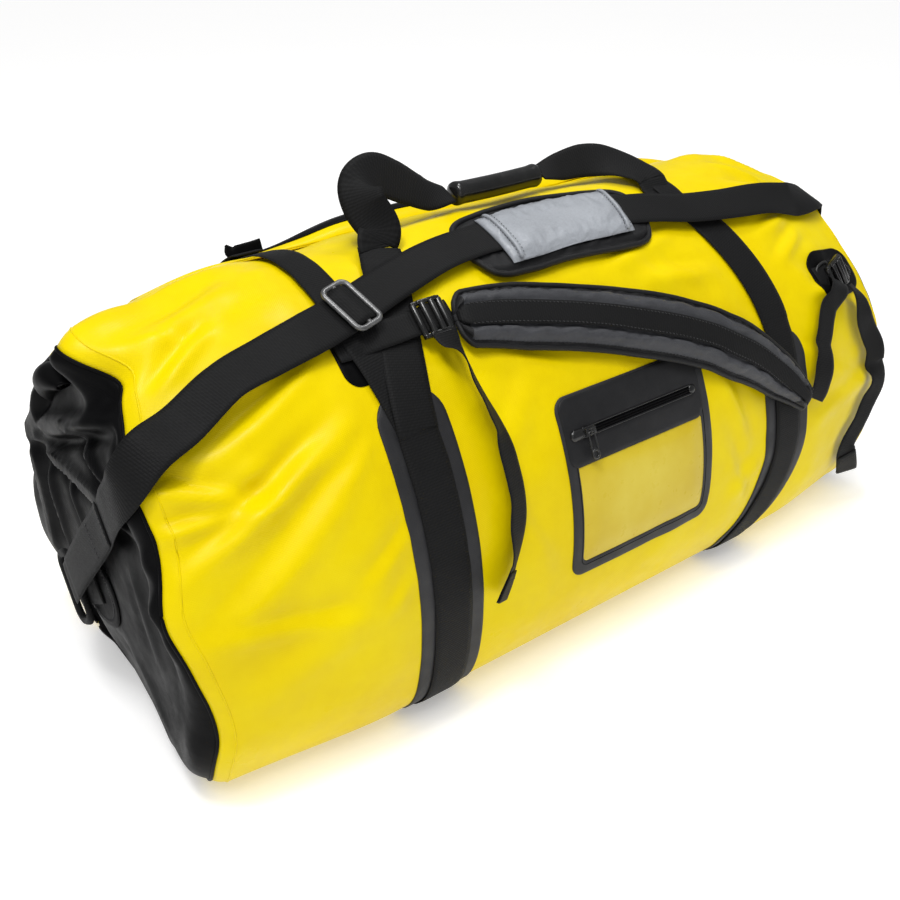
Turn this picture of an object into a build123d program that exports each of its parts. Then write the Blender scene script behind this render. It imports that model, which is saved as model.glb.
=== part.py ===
from build123d import *
import math
import os

# Roll-top waterproof duffel bag.  Millimetres, +Z up, +X along the bag,
# -Y is the pocket side.  The origin is the middle of the base, on the ground.

os.makedirs("parts", exist_ok=True)

# ---- bag body -----------------------------------------------------------------
HALF_W = 212.0        # belly line to centre plane
CREST = 261.0         # belly line up to the crest
BELLY_Z = 129.0       # height of the widest line
FLAT = 130.0          # half width of the flat base
TOP_POWER = 1.85      # superellipse power of the upper half
LOW_POWER = 2.6       # power of the lower corners
STRAIGHT = 260.0      # the section is constant for |x| below this
SEAM_X = 420.0        # seam between the yellow side sheets and the black ends
END_SHRINK = 0.10     # how much smaller the section is at the seam
WALL = 1.5            # coated fabric
BASE_T = 3.0          # doubled base sheet
MOUTH_HALF = 335.0    # half length of the mouth
MOUTH_Y0 = 82.0       # front lip of the mouth
MOUTH_Y1 = 150.0      # rear lip of the mouth

# ---- webbing and fittings ------------------------------------------------------
WEB = 40.0            # handle webbing
WEB_T = 1.6
STRIP_W = 68.0        # welded reinforcing strip under the webbing
STRIP_T = 1.2
COMP_W = 30.0         # compression straps
COMP_T = 1.4
SHOULDER_W = 40.0     # shoulder strap webbing
ADJ_W = 25.0          # backpack strap adjusters
GIRTH_L = -214.0      # centre of the left girth
GIRTH_R = 240.0
LIFT_STRIP = 0.3      # heights above the skin, lowest layer first
LIFT_WEB = 1.8
LIFT_COMP = 3.8
LIFT_SHOULDER = 9.6


def scale_at(x):
    """Size of the section at x, 1 in the middle."""
    s = min(max((abs(x) - STRAIGHT) / (435.0 - STRAIGHT), 0.0), 1.0)
    return 1.0 - END_SHRINK * s * s * (3.0 - 2.0 * s)


def skin(x, a, lift=0.0):
    """(y, z) on the bag at angle a: 0 front belly, 90 crest, 180 back belly."""
    k = scale_at(x)
    b = HALF_W * k
    c = math.cos(math.radians(a))
    s = math.sin(math.radians(a))
    c = 0.0 if abs(c) < 1e-9 else c
    s = 0.0 if abs(s) < 1e-9 else s
    side = -1.0 if c >= 0 else 1.0
    if a > 180.0 - 1e-9:
        side = 1.0
    if s >= 0:
        h = CREST * k
        y = abs(c) ** (2 / TOP_POWER)
        z = s ** (2 / TOP_POWER)
        ny = side * y ** (TOP_POWER - 1) / b
        nz = z ** (TOP_POWER - 1) / h
        y = side * b * y
        z = BELLY_Z + h * z
    else:
        flat = FLAT * k
        y = abs(c) ** (2 / LOW_POWER)
        z = abs(s) ** (2 / LOW_POWER)
        ny = side * y ** (LOW_POWER - 1) / (b - flat)
        nz = -(z ** (LOW_POWER - 1)) / BELLY_Z
        y = side * (flat + (b - flat) * y)
        z = BELLY_Z * (1.0 - z)
    size = math.hypot(ny, nz)
    return y + lift * ny / size, z + lift * nz / size


def skin_normal(x, a):
    y0, z0 = skin(x, a)
    y1, z1 = skin(x, a, 1.0)
    return (0.0, y1 - y0, z1 - z0)


def a_side(z, side=-1, x=0.0):
    """Angle of the height z on the front (side -1) or the back (side 1)."""
    if z >= BELLY_Z:
        s = min((z - BELLY_Z) / (CREST * scale_at(x)), 1.0) ** (TOP_POWER / 2)
    else:
        s = -((BELLY_Z - z) / BELLY_Z) ** (LOW_POWER / 2)
    a = math.degrees(math.asin(s))
    return a if side < 0 else 180.0 - a


def a_top(y, x=0.0):
    """Angle of the upper skin at the depth y."""
    c = (abs(y) / (HALF_W * scale_at(x))) ** (TOP_POWER / 2)
    a = math.degrees(math.acos(c))
    return a if y < 0 else 180.0 - a


def arc_points(x, a0, a1, lift, count=13):
    out = []
    for i in range(count):
        a = a0 + (a1 - a0) * i / (count - 1)
        out.append(skin(x, a, lift))
    return out


def put(name, shape):
    shape.label = name
    export_step(shape, "parts/" + name + ".step")


def band_face(x, a0, a1, low, high, count=13):
    """Sketch of the strip of wall between two lifts, in the plane at x."""
    with BuildSketch(Plane.YZ.offset(x)) as sk:
        with BuildLine():
            outer = Spline(*arc_points(x, a0, a1, high, count))
            inner = Spline(*arc_points(x, a0, a1, low, count))
            Line(outer @ 0, inner @ 0)
            Line(outer @ 1, inner @ 1)
        make_face()
    return sk.sketch


def band(x0, x1, a0, a1, low, high, count=13):
    """Straight band along X that lies on the constant part of the bag."""
    with BuildPart() as piece:
        with BuildSketch(Plane.YZ.offset(x0)):
            with BuildLine():
                outer = Spline(*arc_points(x0, a0, a1, high, count))
                inner = Spline(*arc_points(x0, a0, a1, low, count))
                Line(outer @ 0, inner @ 0)
                Line(outer @ 1, inner @ 1)
            make_face()
        extrude(amount=x1 - x0)
    return piece.part


def wrap(stations, z0, z1, side, low, high, count=7):
    """Patch that follows the narrowing end of the bag."""
    with BuildPart() as piece:
        for x in stations:
            a = sorted((a_side(z0, side, x), a_side(z1, side, x)))
            add(band_face(x, a[0], a[1], low, high, count))
        loft(ruled=True)
    return piece.part


def deck(x, a, lift, spin=0.0):
    """Plane on the bag at x and angle a; its x_dir runs along the bag."""
    y, z = skin(x, a, lift)
    base = Plane(origin=(x, y, z), x_dir=(1, 0, 0), z_dir=skin_normal(x, a))
    return base.rotated((0, 0, spin))


def on_skin(x, a, lift):
    """Waypoint (point, normal) of a strap that lies on the bag."""
    y, z = skin(x, a, lift)
    return (Vector(x, y, z), Vector(*skin_normal(x, a)))


def free(x, y, z, nx, ny, nz):
    return (Vector(x, y, z), Vector(nx, ny, nz).normalized())


def catmull(p0, p1, p2, p3, t):
    return (
        p1 * 2 + (p2 - p0) * t + (p0 * 2 - p1 * 5 + p2 * 4 - p3) * (t * t)
        + (p1 * 3 - p0 - p2 * 3 + p3) * (t * t * t)
    ) * 0.5


def route_planes(way, per_span):
    """Planes along a smooth route through the waypoints."""
    pts = [w[0] for w in way]
    nrm = [w[1] for w in way]
    pts = [pts[0] * 2 - pts[1]] + pts + [pts[-1] * 2 - pts[-2]]
    nrm = [nrm[0]] + nrm + [nrm[-1]]
    place = []
    for i in range(1, len(pts) - 2):
        last = i == len(pts) - 3
        for j in range(per_span + (1 if last else 0)):
            t = j / per_span
            p = catmull(pts[i - 1], pts[i], pts[i + 1], pts[i + 2], t)
            n = nrm[i] * (1 - t) + nrm[i + 1] * t
            place.append((p, n))
    planes = []
    for i, (p, n) in enumerate(place):
        before = place[max(i - 1, 0)][0]
        after = place[min(i + 1, len(place) - 1)][0]
        along = (after - before).normalized()
        across = n.cross(along).normalized()
        planes.append(Plane(origin=p, x_dir=across, z_dir=along))
    return planes


def ribbon(way, width, thick, per_span=3, rounded=0.0):
    """Flat strap along a route; width may be a list, one per waypoint."""
    planes = route_planes(way, per_span)
    with BuildPart() as piece:
        for i, plane in enumerate(planes):
            w = width
            if isinstance(width, list):
                u = i / per_span
                k = min(int(u), len(width) - 2)
                w = width[k] + (width[k + 1] - width[k]) * (u - k)
            with BuildSketch(plane):
                if rounded:
                    RectangleRounded(w, thick, rounded)
                else:
                    Rectangle(w, thick)
        loft(ruled=True)
    return piece.part


SIDES = {"front": -1, "back": 1}
ENDS = {"left": -1, "right": 1}

# ---- the waterproof body -------------------------------------------------------
STATIONS = [-420.0, -395.0, -365.0, -330.0, -295.0, -260.0]
STATIONS = STATIONS + [-x for x in reversed(STATIONS)]
LIP = a_top(MOUTH_Y1)

with BuildPart() as front_panel:
    for x in STATIONS:
        add(band_face(x, -90.0, LIP, -WALL, 0.0, 33))
    loft(ruled=True)
    with Locations((0, (MOUTH_Y0 + MOUTH_Y1) / 2 + 1, 330)):
        Box(2 * MOUTH_HALF, MOUTH_Y1 - MOUTH_Y0 + 2, 160, mode=Mode.SUBTRACT)
put("front_panel", front_panel.part)

with BuildPart() as back_panel:
    for x in STATIONS:
        add(band_face(x, LIP, 270.0, -WALL, 0.0, 21))
    loft(ruled=True)
put("back_panel", back_panel.part)

with BuildPart() as base_panel:
    with BuildSketch(Plane.XY):
        with BuildLine():
            edge = [(x, -FLAT * scale_at(x) + 0.05) for x in STATIONS]
            Polyline(*edge, *[(x, -y) for x, y in reversed(edge)], close=True)
        make_face()
    extrude(amount=BASE_T)
put("base_panel", base_panel.part)


def end_section(x, size, lift):
    """Whole outline of the end at x, shrunk about a point at mid height."""
    mid = 175.0
    pts = []
    for i in range(33):
        a = -90.0 + 360.0 * i / 32
        y, z = skin(SEAM_X, a, lift)
        pts.append((y * size, mid + (z - mid) * size))
    with BuildSketch(Plane.YZ.offset(x)) as sk:
        with BuildLine():
            rim = Spline(*pts)
            Line(rim @ 1, rim @ 0)
        make_face()
    return sk.sketch


for end, sx in ENDS.items():
    with BuildPart() as end_panel:
        for dx, size in ((0.0, 1.0), (9.0, 0.985), (17.0, 0.95), (22.0, 0.88), (25.0, 0.72)):
            add(end_section(sx * (SEAM_X + dx), size, 0.0))
        loft(ruled=True)
        with BuildPart(mode=Mode.PRIVATE) as hollow:
            for dx, size in ((-1.0, 1.0), (8.4, 0.985), (15.8, 0.95), (20.4, 0.88), (23.2, 0.72)):
                add(end_section(sx * (SEAM_X + dx), size, -WALL))
            loft(ruled=True)
        add(hollow.part, mode=Mode.SUBTRACT)
    put("end_panel_" + end, end_panel.part)

# ---- girths: welded strips and the handle webbing sewn on them -------------------
GIRTH_X = {"left": GIRTH_L, "right": GIRTH_R}
STRIP_TOP = {"left": 318.0, "right": 262.0}


def lean(x, z):
    """The lower front of the bag is drawn in towards the middle at its right end."""
    t = min(max((150.0 - z) / 110.0, 0.0), 1.0)
    return x - 45.0 * t * t * min(max(x / 230.0, 0.0), 1.0)


def girth_x(end, side, z):
    x = GIRTH_X[end]
    return lean(x, z) if side == "front" else x


for side, sy in SIDES.items():
    for end in ENDS:
        top = STRIP_TOP[end] if side == "front" else 215.0
        a0 = a_side(6.0, sy)
        a1 = a_side(top, sy)
        way = []
        for i in range(31):
            a = a0 + (a1 - a0) * i / 30
            z = skin(0.0, a)[1]
            way.append(on_skin(girth_x(end, side, z), a, LIFT_STRIP + STRIP_T / 2 + 0.15))
        put("girth_strip_" + side + "_" + end, ribbon(way, STRIP_W, STRIP_T, 2))

LW = LIFT_WEB + WEB_T / 2
BACK_HINGE_Z = 168.0


def girth_way(end, side, z0, z1, sy, count):
    a0 = a_side(z0, sy)
    a1 = a_side(z1, sy)
    way = []
    for i in range(count):
        a = a0 + (a1 - a0) * i / (count - 1)
        way.append(on_skin(girth_x(end, side, skin(0.0, a)[1]), a, LW))
    return way


def slant_way(x0, x1, a0, a1, count):
    """Webbing that drifts along the bag as it climbs to the handle."""
    way = []
    for i in range(count):
        t = i / (count - 1)
        way.append(on_skin(x0 + (x1 - x0) * t ** 1.3, a0 + (a1 - a0) * t, LW))
    return way


way = girth_way("left", "front", 10.0, 285.0, -1, 22)
way += slant_way(GIRTH_L, -162.0, a_side(290.0), a_top(-38.0), 10)
put("handle_webbing_front_left", ribbon(way, WEB, WEB_T, 2))

way = girth_way("right", "front", 10.0, 270.0, -1, 22)
way += slant_way(GIRTH_R, 188.0, a_side(275.0), a_top(-38.0), 11)
put("handle_webbing_front_right", ribbon(way, WEB, WEB_T, 2))

for end in ENDS:
    way = girth_way(end, "back", 10.0, BACK_HINGE_Z - 4.0, 1, 15)
    put("handle_webbing_back_" + end, ribbon(way, WEB, WEB_T, 2))

# ---- roll closure, hinged along the rear lip of the mouth ------------------------
ROLL_HALF = 345.0
ROLL_A0 = a_top(72.0)
ROLL_A1 = a_top(154.0)
ROLL_H = 24.0
AXIS_Y, AXIS_Z = skin(0.0, a_top(156.0), 3.0)


def roll_lift(t, x=0.0):
    """Height of the roll over the bag; it flattens towards its two ends."""
    u = min(max((abs(x) - 220.0) / 125.0, 0.0), 1.0)
    return 4.0 + ROLL_H * (1.0 - 0.62 * u) * (1.0 - abs(2.0 * t - 1.0) ** 2.6) ** 0.6


def roll_points(x, t0, t1, low, high, count):
    """Outer and inner edge of the roll, or of a layer on it, at x."""
    top = []
    under = []
    for i in range(count):
        t = t0 + (t1 - t0) * i / (count - 1)
        a = ROLL_A0 + (ROLL_A1 - ROLL_A0) * t
        top.append(skin(x, a, roll_lift(t, x) + high))
        under.append(skin(x, a, 1.2 if low is None else roll_lift(t, x) + low))
    return top, under


def roll_layer(stations, t0, t1, low, high, count):
    with BuildPart() as piece:
        for x in stations:
            top, under = roll_points(x, t0, t1, low, high, count)
            with BuildSketch(Plane.YZ.offset(x)):
                with BuildLine():
                    upper = Spline(*top)
                    lower = Spline(*under)
                    Line(upper @ 0, lower @ 0)
                    Line(upper @ 1, lower @ 1)
                make_face()
        loft(ruled=True)
    return piece.part


ROLL_X = [-ROLL_HALF, -330.0, -307.0, -283.0, -260.0, -240.0, -220.0, 220.0, 240.0, 260.0, 283.0, 307.0, 330.0, ROLL_HALF]
put("roll_closure", roll_layer(ROLL_X, 0.0, 1.0, None, 0.0, 17))
put("roll_stiffener", roll_layer([-216.0, 216.0], 0.10, 0.42, 0.3, 1.9, 9))

COMP_X = {"left": -232.0, "right": 197.0}
for end, x in COMP_X.items():
    piece = roll_layer([x - COMP_W / 2, x - 7.0, x + 7.0, x + COMP_W / 2], 0.02, 0.98, 2.5, 2.5 + COMP_T, 17)
    put("closure_strap_" + end, piece)

# ---- compression straps below the closure ----------------------------------------
COMP_START = {"left": 290.0, "right": 370.0}
for end, x in COMP_X.items():
    piece = band(x - COMP_W / 2, x + COMP_W / 2, a_side(COMP_START[end]), a_top(64.0),
                 LIFT_COMP, LIFT_COMP + COMP_T, 15)
    put("compression_strap_front_" + end, piece)
    piece = band(x - COMP_W / 2, x + COMP_W / 2, a_top(163.0), a_side(190.0, 1),
                 LIFT_COMP, LIFT_COMP + COMP_T, 11)
    put("compression_strap_back_" + end, piece)

# ---- front pocket ----------------------------------------------------------------
POCKET = (-75.0, 115.0, 105.0, 275.0)
WINDOW = (-62.0, 101.0, 120.0, 222.0)
ZIP_Z = 242.0
ZIP = (-54.0, 96.0)
a0 = a_side(POCKET[2])
a1 = a_side(POCKET[3])
w0 = a_side(WINDOW[2])
w1 = a_side(WINDOW[3])


def leaning(box, radius, grow=0.0):
    """Outline of a rounded panel whose lower right side is drawn in."""
    x0, x1, z0, z1 = box[0] - grow, box[1] + grow, box[2] - grow, box[3] + grow
    pts = []
    for cx, cz, start in ((x0 + radius, z0 + radius, 180), (x1 - radius, z0 + radius, 270),
                          (x1 - radius, z1 - radius, 0), (x0 + radius, z1 - radius, 90)):
        for k in range(7):
            a = math.radians(start + 15.0 * k)
            pts.append((cx + radius * math.cos(a), cz + radius * math.sin(a)))
        if start == 270:
            for k in range(1, 12):
                pts.append((x1, z0 + radius + (z1 - z0 - 2 * radius) * k / 12))
    return [(lean(x, z) if x > 0 else x, z) for x, z in pts]


with BuildPart() as pocket_panel:
    add(band(POCKET[0] - 20, POCKET[1] + 5, a0, a1, 0.3, 1.7, 15))
    with BuildSketch(Plane.XZ):
        with BuildLine():
            Polyline(*leaning(POCKET, 15.0), close=True)
        make_face()
        with BuildLine():
            Polyline(*leaning(WINDOW, 5.0), close=True)
        make_face(mode=Mode.SUBTRACT)
    extrude(amount=300.0, mode=Mode.INTERSECT)
    with Locations(deck(21.0, a_side(ZIP_Z), 1.0)):
        Box(146.0, 6.0, 8.0, mode=Mode.SUBTRACT)
put("pocket_panel", pocket_panel.part)
with BuildPart() as pocket_window:
    add(band(WINDOW[0] - 20, WINDOW[1] + 5, w0 - 0.5, w1 + 0.5, 0.5, 1.1, 11))
    with BuildSketch(Plane.XZ):
        with BuildLine():
            Polyline(*leaning(WINDOW, 5.0, -0.4), close=True)
        make_face()
    extrude(amount=300.0, mode=Mode.INTERSECT)
put("pocket_window", pocket_window.part)
z0 = a_side(ZIP_Z - 8.0)
z1 = a_side(ZIP_Z + 8.0)
put("zip_tape", band(ZIP[0], ZIP[1], z0, z1, 2.0, 2.8, 5))

SLIDER_X = -45.0
with BuildPart() as zip_slider:
    with BuildSketch(deck(SLIDER_X, a_side(ZIP_Z), 3.1)):
        RectangleRounded(14.0, 9.0, 2.5)
    extrude(amount=2.6)
    with BuildSketch(deck(SLIDER_X, a_side(ZIP_Z), 5.7)):
        with Locations((-3.4, -2.0), (3.4, -2.0)):
            Rectangle(1.6, 4.4)
    extrude(amount=2.6)
put("zip_slider", zip_slider.part)

pull_plane = deck(SLIDER_X, a_side(ZIP_Z), 6.9)
with BuildPart() as zip_pull:
    with BuildSketch(pull_plane):
        with Locations((0, -12.5)):
            RectangleRounded(4.6, 23.0, 1.4)
        with Locations((0, -19.0)):
            Circle(3.6)
        with Locations((0, -19.0)):
            Circle(1.8, mode=Mode.SUBTRACT)
    extrude(amount=0.7, both=True)
put("zip_pull", zip_pull.part)
pull_y, pull_z = skin(0.0, a_side(ZIP_Z), 6.9)

# ---- backpack straps: patch, ladder lock, pad, adjuster ----------------------------
PATCH_Z = {"front": 283.0, "back": 250.0}
for side, sy in SIDES.items():
    a0 = a_top(sy * 130.0)
    a1 = a_top(sy * 88.0)
    piece = band(-278.0 + 20.0, -186.0, min(a0, a1), max(a0, a1), LIFT_STRIP, 1.5, 7)
    if side == "back":
        a0 = a_side(258.0, 1)
        a1 = a_side(218.0, 1)
        piece = band(-258.0, -186.0, a0, a1, LIFT_STRIP, 1.5, 7)
    put("strap_patch_" + side + "_left", piece)

    z = PATCH_Z[side]
    piece = wrap([330, 345, 360, 375, 390, 405, 414], z - 21, z + 21, sy, LIFT_STRIP, 1.8)
    put("strap_patch_" + side + "_right", piece)


def ladder_lock(plane):
    """Plastic strap adjuster with two slots and three bars."""
    with BuildPart() as lock:
        with BuildSketch(plane):
            RectangleRounded(30.0, 33.0, 4.0)
            with Locations((-6.0, 0), (6.0, 0)):
                Rectangle(6.0, 26.0, mode=Mode.SUBTRACT)
        extrude(amount=4.0)
    return lock.part


# Height of the pad's centre line, and of its left end, on either side.
PAD_Z = {"front": [345, 336, 316, 292, 260, 222, 186], "back": [238, 240, 239, 233, 223, 207, 183]}
PAD_X = [-140, -75, 15, 95, 165, 222, 262]
LOCK_Z = {"front": 350.0, "back": 238.0}
PAD_W = [50.0, 62.0, 64.0, 64.0, 62.0, 48.0, 22.0]
PAD_T = 13.0
PAD_LIFT = 6.8 + PAD_T / 2
for side, sy in SIDES.items():
    heights = PAD_Z[side]
    way = []
    for x, z in zip(PAD_X, heights):
        way.append(on_skin(x, a_side(z, sy), PAD_LIFT))
    put("backpack_pad_" + side, ribbon(way, PAD_W, PAD_T, 3))

    z = LOCK_Z[side]
    put("ladder_lock_" + side + "_left", ladder_lock(deck(-162.0, a_side(z, sy), 8.0)))
    way = [on_skin(x, a_side(z, sy), 8.5) for x in (-256, -235, -208, -179)]
    put("backpack_web_" + side + "_left", ribbon(way, ADJ_W, 1.4))

    put("ladder_lock_" + side + "_right",
        ladder_lock(deck(368.0, a_side(PATCH_Z[side], sy, 368.0), 6.0, 20.0 * -sy)))
    way = []
    drop = PATCH_Z[side] - 283.0
    for x, z, lift, t in ((284, 188, 12, 0), (289, 208, 9.5, 0.3), (301, 234, 8, 0.6), (320, 259, 7.5, 0.9), (341, 276, 7.5, 1)):
        way.append(on_skin(x, a_side(z + drop * t, sy, x), lift))
    put("backpack_web_" + side + "_right", ribbon(way, ADJ_W, 1.4))

# Loose ends of the adjusters hang down the front.
way = []
for x, z, lift in ((-158, 338, 13.5), (-158, 314, 13.5), (-151, 292, 12), (-144, 262, 11),
                   (-142, 225, 9), (-145, 190, 8), (-154, 160, 8), (-170, 131, 10)):
    way.append(on_skin(x, a_side(z), lift))
put("strap_tail_front_left", ribbon(way, [ADJ_W] * 8, 1.4))
way = []
for x, z, lift in ((378, 271, 14), (383, 252, 15), (391, 228, 13), (402, 200, 11),
                   (409, 160, 9), (407, 120, 8), (396, 92, 8), (404, 54, 11)):
    way.append(on_skin(x, a_side(z, -1, x), lift))
put("strap_tail_front_right", ribbon(way, [ADJ_W] * 8, 1.4))

# ---- shoulder strap, its pad and its two end anchors ------------------------------
SH = LIFT_SHOULDER + 0.8
RING_Y = 52.0
RING_Z = 108.0
for end, sx in ENDS.items():
    with BuildPart() as end_patch:
        with BuildSketch(Plane.YZ.offset(sx * 445.6)):
            with Locations((RING_Y - 40.0, RING_Z + 26.0)):
                Ellipse(52.0, 40.0)
        extrude(amount=sx * 1.4)
    put("end_patch_" + end, end_patch.part)
    with BuildPart() as end_tab:
        with BuildSketch(Plane.YZ.offset(sx * 447.4)):
            with Locations((RING_Y - 27.0, RING_Z + 18.0)):
                Rectangle(62.0, 40.0, rotation=-32.0)
        extrude(amount=sx * 1.6)
    put("end_tab_" + end, end_tab.part)
    with BuildPart() as end_ring:
        with BuildSketch(Plane.YZ.offset(sx * 449.6)):
            with Locations((RING_Y, RING_Z)):
                RectangleRounded(74.0, 44.0, 16.0, rotation=58.0)
                RectangleRounded(60.0, 30.0, 10.0, rotation=58.0, mode=Mode.SUBTRACT)
        extrude(amount=sx * 6.0)
    put("end_ring_" + end, end_ring.part)

left_way = [
    free(-460, 40, 122, -1, 0.0, 0.1), free(-459, 8, 158, -1, 0, 0.1),
    free(-456, -25, 196, -1, -0.05, 0.1), free(-453, -59, 234, -1, -0.1, 0.2),
    free(-449, -90, 270, -1, -0.25, 0.35), free(-438, -111, 302, -0.7, -0.5, 0.65),
    free(-415, -114, 325, -0.25, -0.6, 0.85),
    on_skin(-385, a_top(-104, 385), SH + 1), on_skin(-350, a_top(-97, 350), SH),
    on_skin(-310, a_top(-94, 310), SH), on_skin(-270, a_top(-90), SH), on_skin(-226, a_top(-80), SH),
    on_skin(-170, a_top(-66), SH), on_skin(-118, a_top(-57), SH),
    on_skin(-70, a_top(-53), SH), on_skin(-20, a_top(-53), SH), on_skin(40, a_top(-54), SH),
]
put("shoulder_strap_left", ribbon(left_way, SHOULDER_W, 1.6))
right_way = [
    on_skin(41.6, a_top(-54), SH), on_skin(90, a_top(-58), SH), on_skin(140, a_top(-65), SH),
    on_skin(190, a_top(-74), SH), on_skin(245, a_top(-81), SH),
    on_skin(300, a_top(-84, 300), SH), on_skin(350, a_top(-83, 350), SH),
    on_skin(393, a_top(-79, 393), SH), free(424, -73, 355, 0.4, -0.3, 0.9),
    free(444, -62, 336, 0.85, -0.25, 0.5), free(453, -47, 303, 1, -0.15, 0.2),
    free(457, -28, 258, 1, -0.1, 0.1), free(459, 4, 190, 1, 0, 0.1), free(460, 40, 122, 1, 0, 0.1),
]
put("shoulder_strap_right", ribbon(right_way, SHOULDER_W, 1.6))

pad_xs = [-88, -76, -30, 20, 75, 122, 134]
pad_ys = [-59, -58, -56, -55, -60, -66, -68]
way = [on_skin(x, a_top(y), 5.6) for x, y in zip(pad_xs, pad_ys)]
put("shoulder_pad", ribbon(way, [52.0, 76.0, 84.0, 86.0, 82.0, 72.0, 52.0], 6.4, 3))
way = [on_skin(x, a_top(y), 14.6) for x, y in zip((-54, -20, 25, 70, 104), (-58, -57, -56, -58, -61))]
put("shoulder_pad_cover", ribbon(way, [62.0, 64.0, 64.0, 62.0, 58.0], 5.4, 3))

GLIDE_X = -226.0
glide_turn = math.degrees(math.atan2(27.5, 100.0))
with BuildPart() as tri_glide:
    with BuildSketch(deck(GLIDE_X, a_top(-80.0), 15.0, glide_turn)):
        RectangleRounded(32.0, 52.0, 5.0)
        with Locations((-7.2, 0), (7.2, 0)):
            Rectangle(8.0, 42.0, mode=Mode.SUBTRACT)
    extrude(amount=4.0)
put("tri_glide", tri_glide.part)

# ---- carry handles -----------------------------------------------------------------
GRIP_R = 13.5
front_left = [
    free(-158, -29, 396, 0, -0.5, 1), free(-151, -20, 411, -0.25, -0.85, 0.5),
    free(-159, -9, 433, -0.6, -0.8, 0.3), free(-155, 2, 450, -0.7, -0.4, 0.7),
    free(-134, 10, 455, 0.1, -0.3, 1), free(-104, 15, 442, 0.35, -0.4, 0.9),
    free(-72, 19, 421, 0.3, -0.45, 0.9), free(-42, 20, 411, 0, -0.4, 1),
]
put("handle_front_left", ribbon(front_left, [40.0, 40.0, 39.0, 37.0, 35.0, 32.0, 27.0, 22.0], 1.8, 4))
front_right = [
    free(74, 20, 411, 0, -0.4, 1), free(102, 20, 416, -0.1, -0.5, 0.9),
    free(132, 18, 421, 0.0, -0.5, 0.9), free(158, 10, 420, 0.25, -0.45, 0.9),
    free(178, -8, 411, 0.2, -0.55, 0.85), free(187, -24, 400, 0, -0.5, 1), free(188, -29, 396.5, 0, -0.5, 1),
]
put("handle_front_right", ribbon(front_right, [22.0, 30.0, 36.0, 39.0, 40.0, 40.0, 40.0], 1.8, 4))
with BuildPart() as grip_front:
    with BuildSketch(Plane(origin=(-39, 20, 410), x_dir=(0, 1, 0), z_dir=(1, 0, 0))):
        Circle(GRIP_R)
    extrude(amount=110.0)
    fillet(grip_front.edges(), 3.0)
put("grip_front", grip_front.part)

hang = 10.5
back_z = (BACK_HINGE_Z, 160, 148, 129, 111, 97, 92)
back_x = (214, 213.6, 206, 184, 150, 106, 66)
back_lift = (6.5, 8.0, hang, hang, hang, hang, hang)
for end, sx in ENDS.items():
    shift = 26.0 if sx > 0 else 0.0
    way = []
    for x, z, lift in zip(back_x, back_z, back_lift):
        way.append(on_skin(sx * x + shift * (x - 66.0) / 148.0, a_side(z, 1), lift))
    put("handle_back_" + end, ribbon(way, [40.0, 40.0, 40.0, 38.0, 34.0, 28.0, 22.0], 1.8, 4))
grip_y, grip_z = skin(0.0, a_side(93.0, 1), GRIP_R + 2.0)
with BuildPart() as grip_back:
    with BuildSketch(Plane(origin=(-65, grip_y, grip_z), x_dir=(0, 1, 0), z_dir=(1, 0, 0))):
        Circle(GRIP_R)
    extrude(amount=130.0)
    fillet(grip_back.edges(), 3.0)
put("grip_back", grip_back.part)
print("closure axis", AXIS_Y, AXIS_Z)
print("pull axis", SLIDER_X, pull_y, pull_z)
print("back handle axis", skin(0.0, a_side(BACK_HINGE_Z, 1), 6.5))
print("glide", skin(0.0, a_top(-80.0), 15.0), glide_turn)
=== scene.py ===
import bpy
import bmesh
import math
import random
import numpy as np
from mathutils import Matrix, Vector, noise
from mathutils.geometry import delaunay_2d_cdt


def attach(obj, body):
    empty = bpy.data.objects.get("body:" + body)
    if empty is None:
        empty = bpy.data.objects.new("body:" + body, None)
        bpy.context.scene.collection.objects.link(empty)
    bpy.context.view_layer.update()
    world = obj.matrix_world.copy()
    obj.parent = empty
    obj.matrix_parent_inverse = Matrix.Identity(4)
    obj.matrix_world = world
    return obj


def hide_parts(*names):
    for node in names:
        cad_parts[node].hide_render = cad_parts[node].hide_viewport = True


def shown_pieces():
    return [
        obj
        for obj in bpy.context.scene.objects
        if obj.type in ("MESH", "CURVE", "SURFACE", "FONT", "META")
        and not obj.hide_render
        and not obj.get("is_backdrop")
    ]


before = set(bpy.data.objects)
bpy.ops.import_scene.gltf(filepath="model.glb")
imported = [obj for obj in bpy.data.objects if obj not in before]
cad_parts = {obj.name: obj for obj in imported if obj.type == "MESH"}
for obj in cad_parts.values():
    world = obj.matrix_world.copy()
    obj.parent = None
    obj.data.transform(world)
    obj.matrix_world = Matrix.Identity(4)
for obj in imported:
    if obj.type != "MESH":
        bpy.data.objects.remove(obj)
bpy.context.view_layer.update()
random.seed(7)
noise.seed_set(11)

# ------------------------------------------------------------------ bag surface
# the section: half width, crest above the belly line, height of that line, half width of the base
HALF_W, CREST, BELLY_Z, FLAT = 0.212, 0.261, 0.129, 0.130
TOP_POWER, LOW_POWER = 1.85, 2.6        # superellipse powers above and below the belly line
STRAIGHT, SEAM_X = 0.26, 0.42           # the section is constant up to one, and ends at the other
SHEET_T = 0.0012                        # coated fabric
SIDES = (("front", -1), ("back", 1))
ENDS = (("left", -1), ("right", 1))
STRAP_W, COMP_W, ADJUST_W = 0.040, 0.030, 0.025


def smooth(t):
    t = np.clip(t, 0.0, 1.0)
    return t * t * (3 - 2 * t)


def size_at(x):
    return 1.0 - 0.10 * smooth((np.abs(x) - STRAIGHT) / (0.435 - STRAIGHT))


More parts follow.
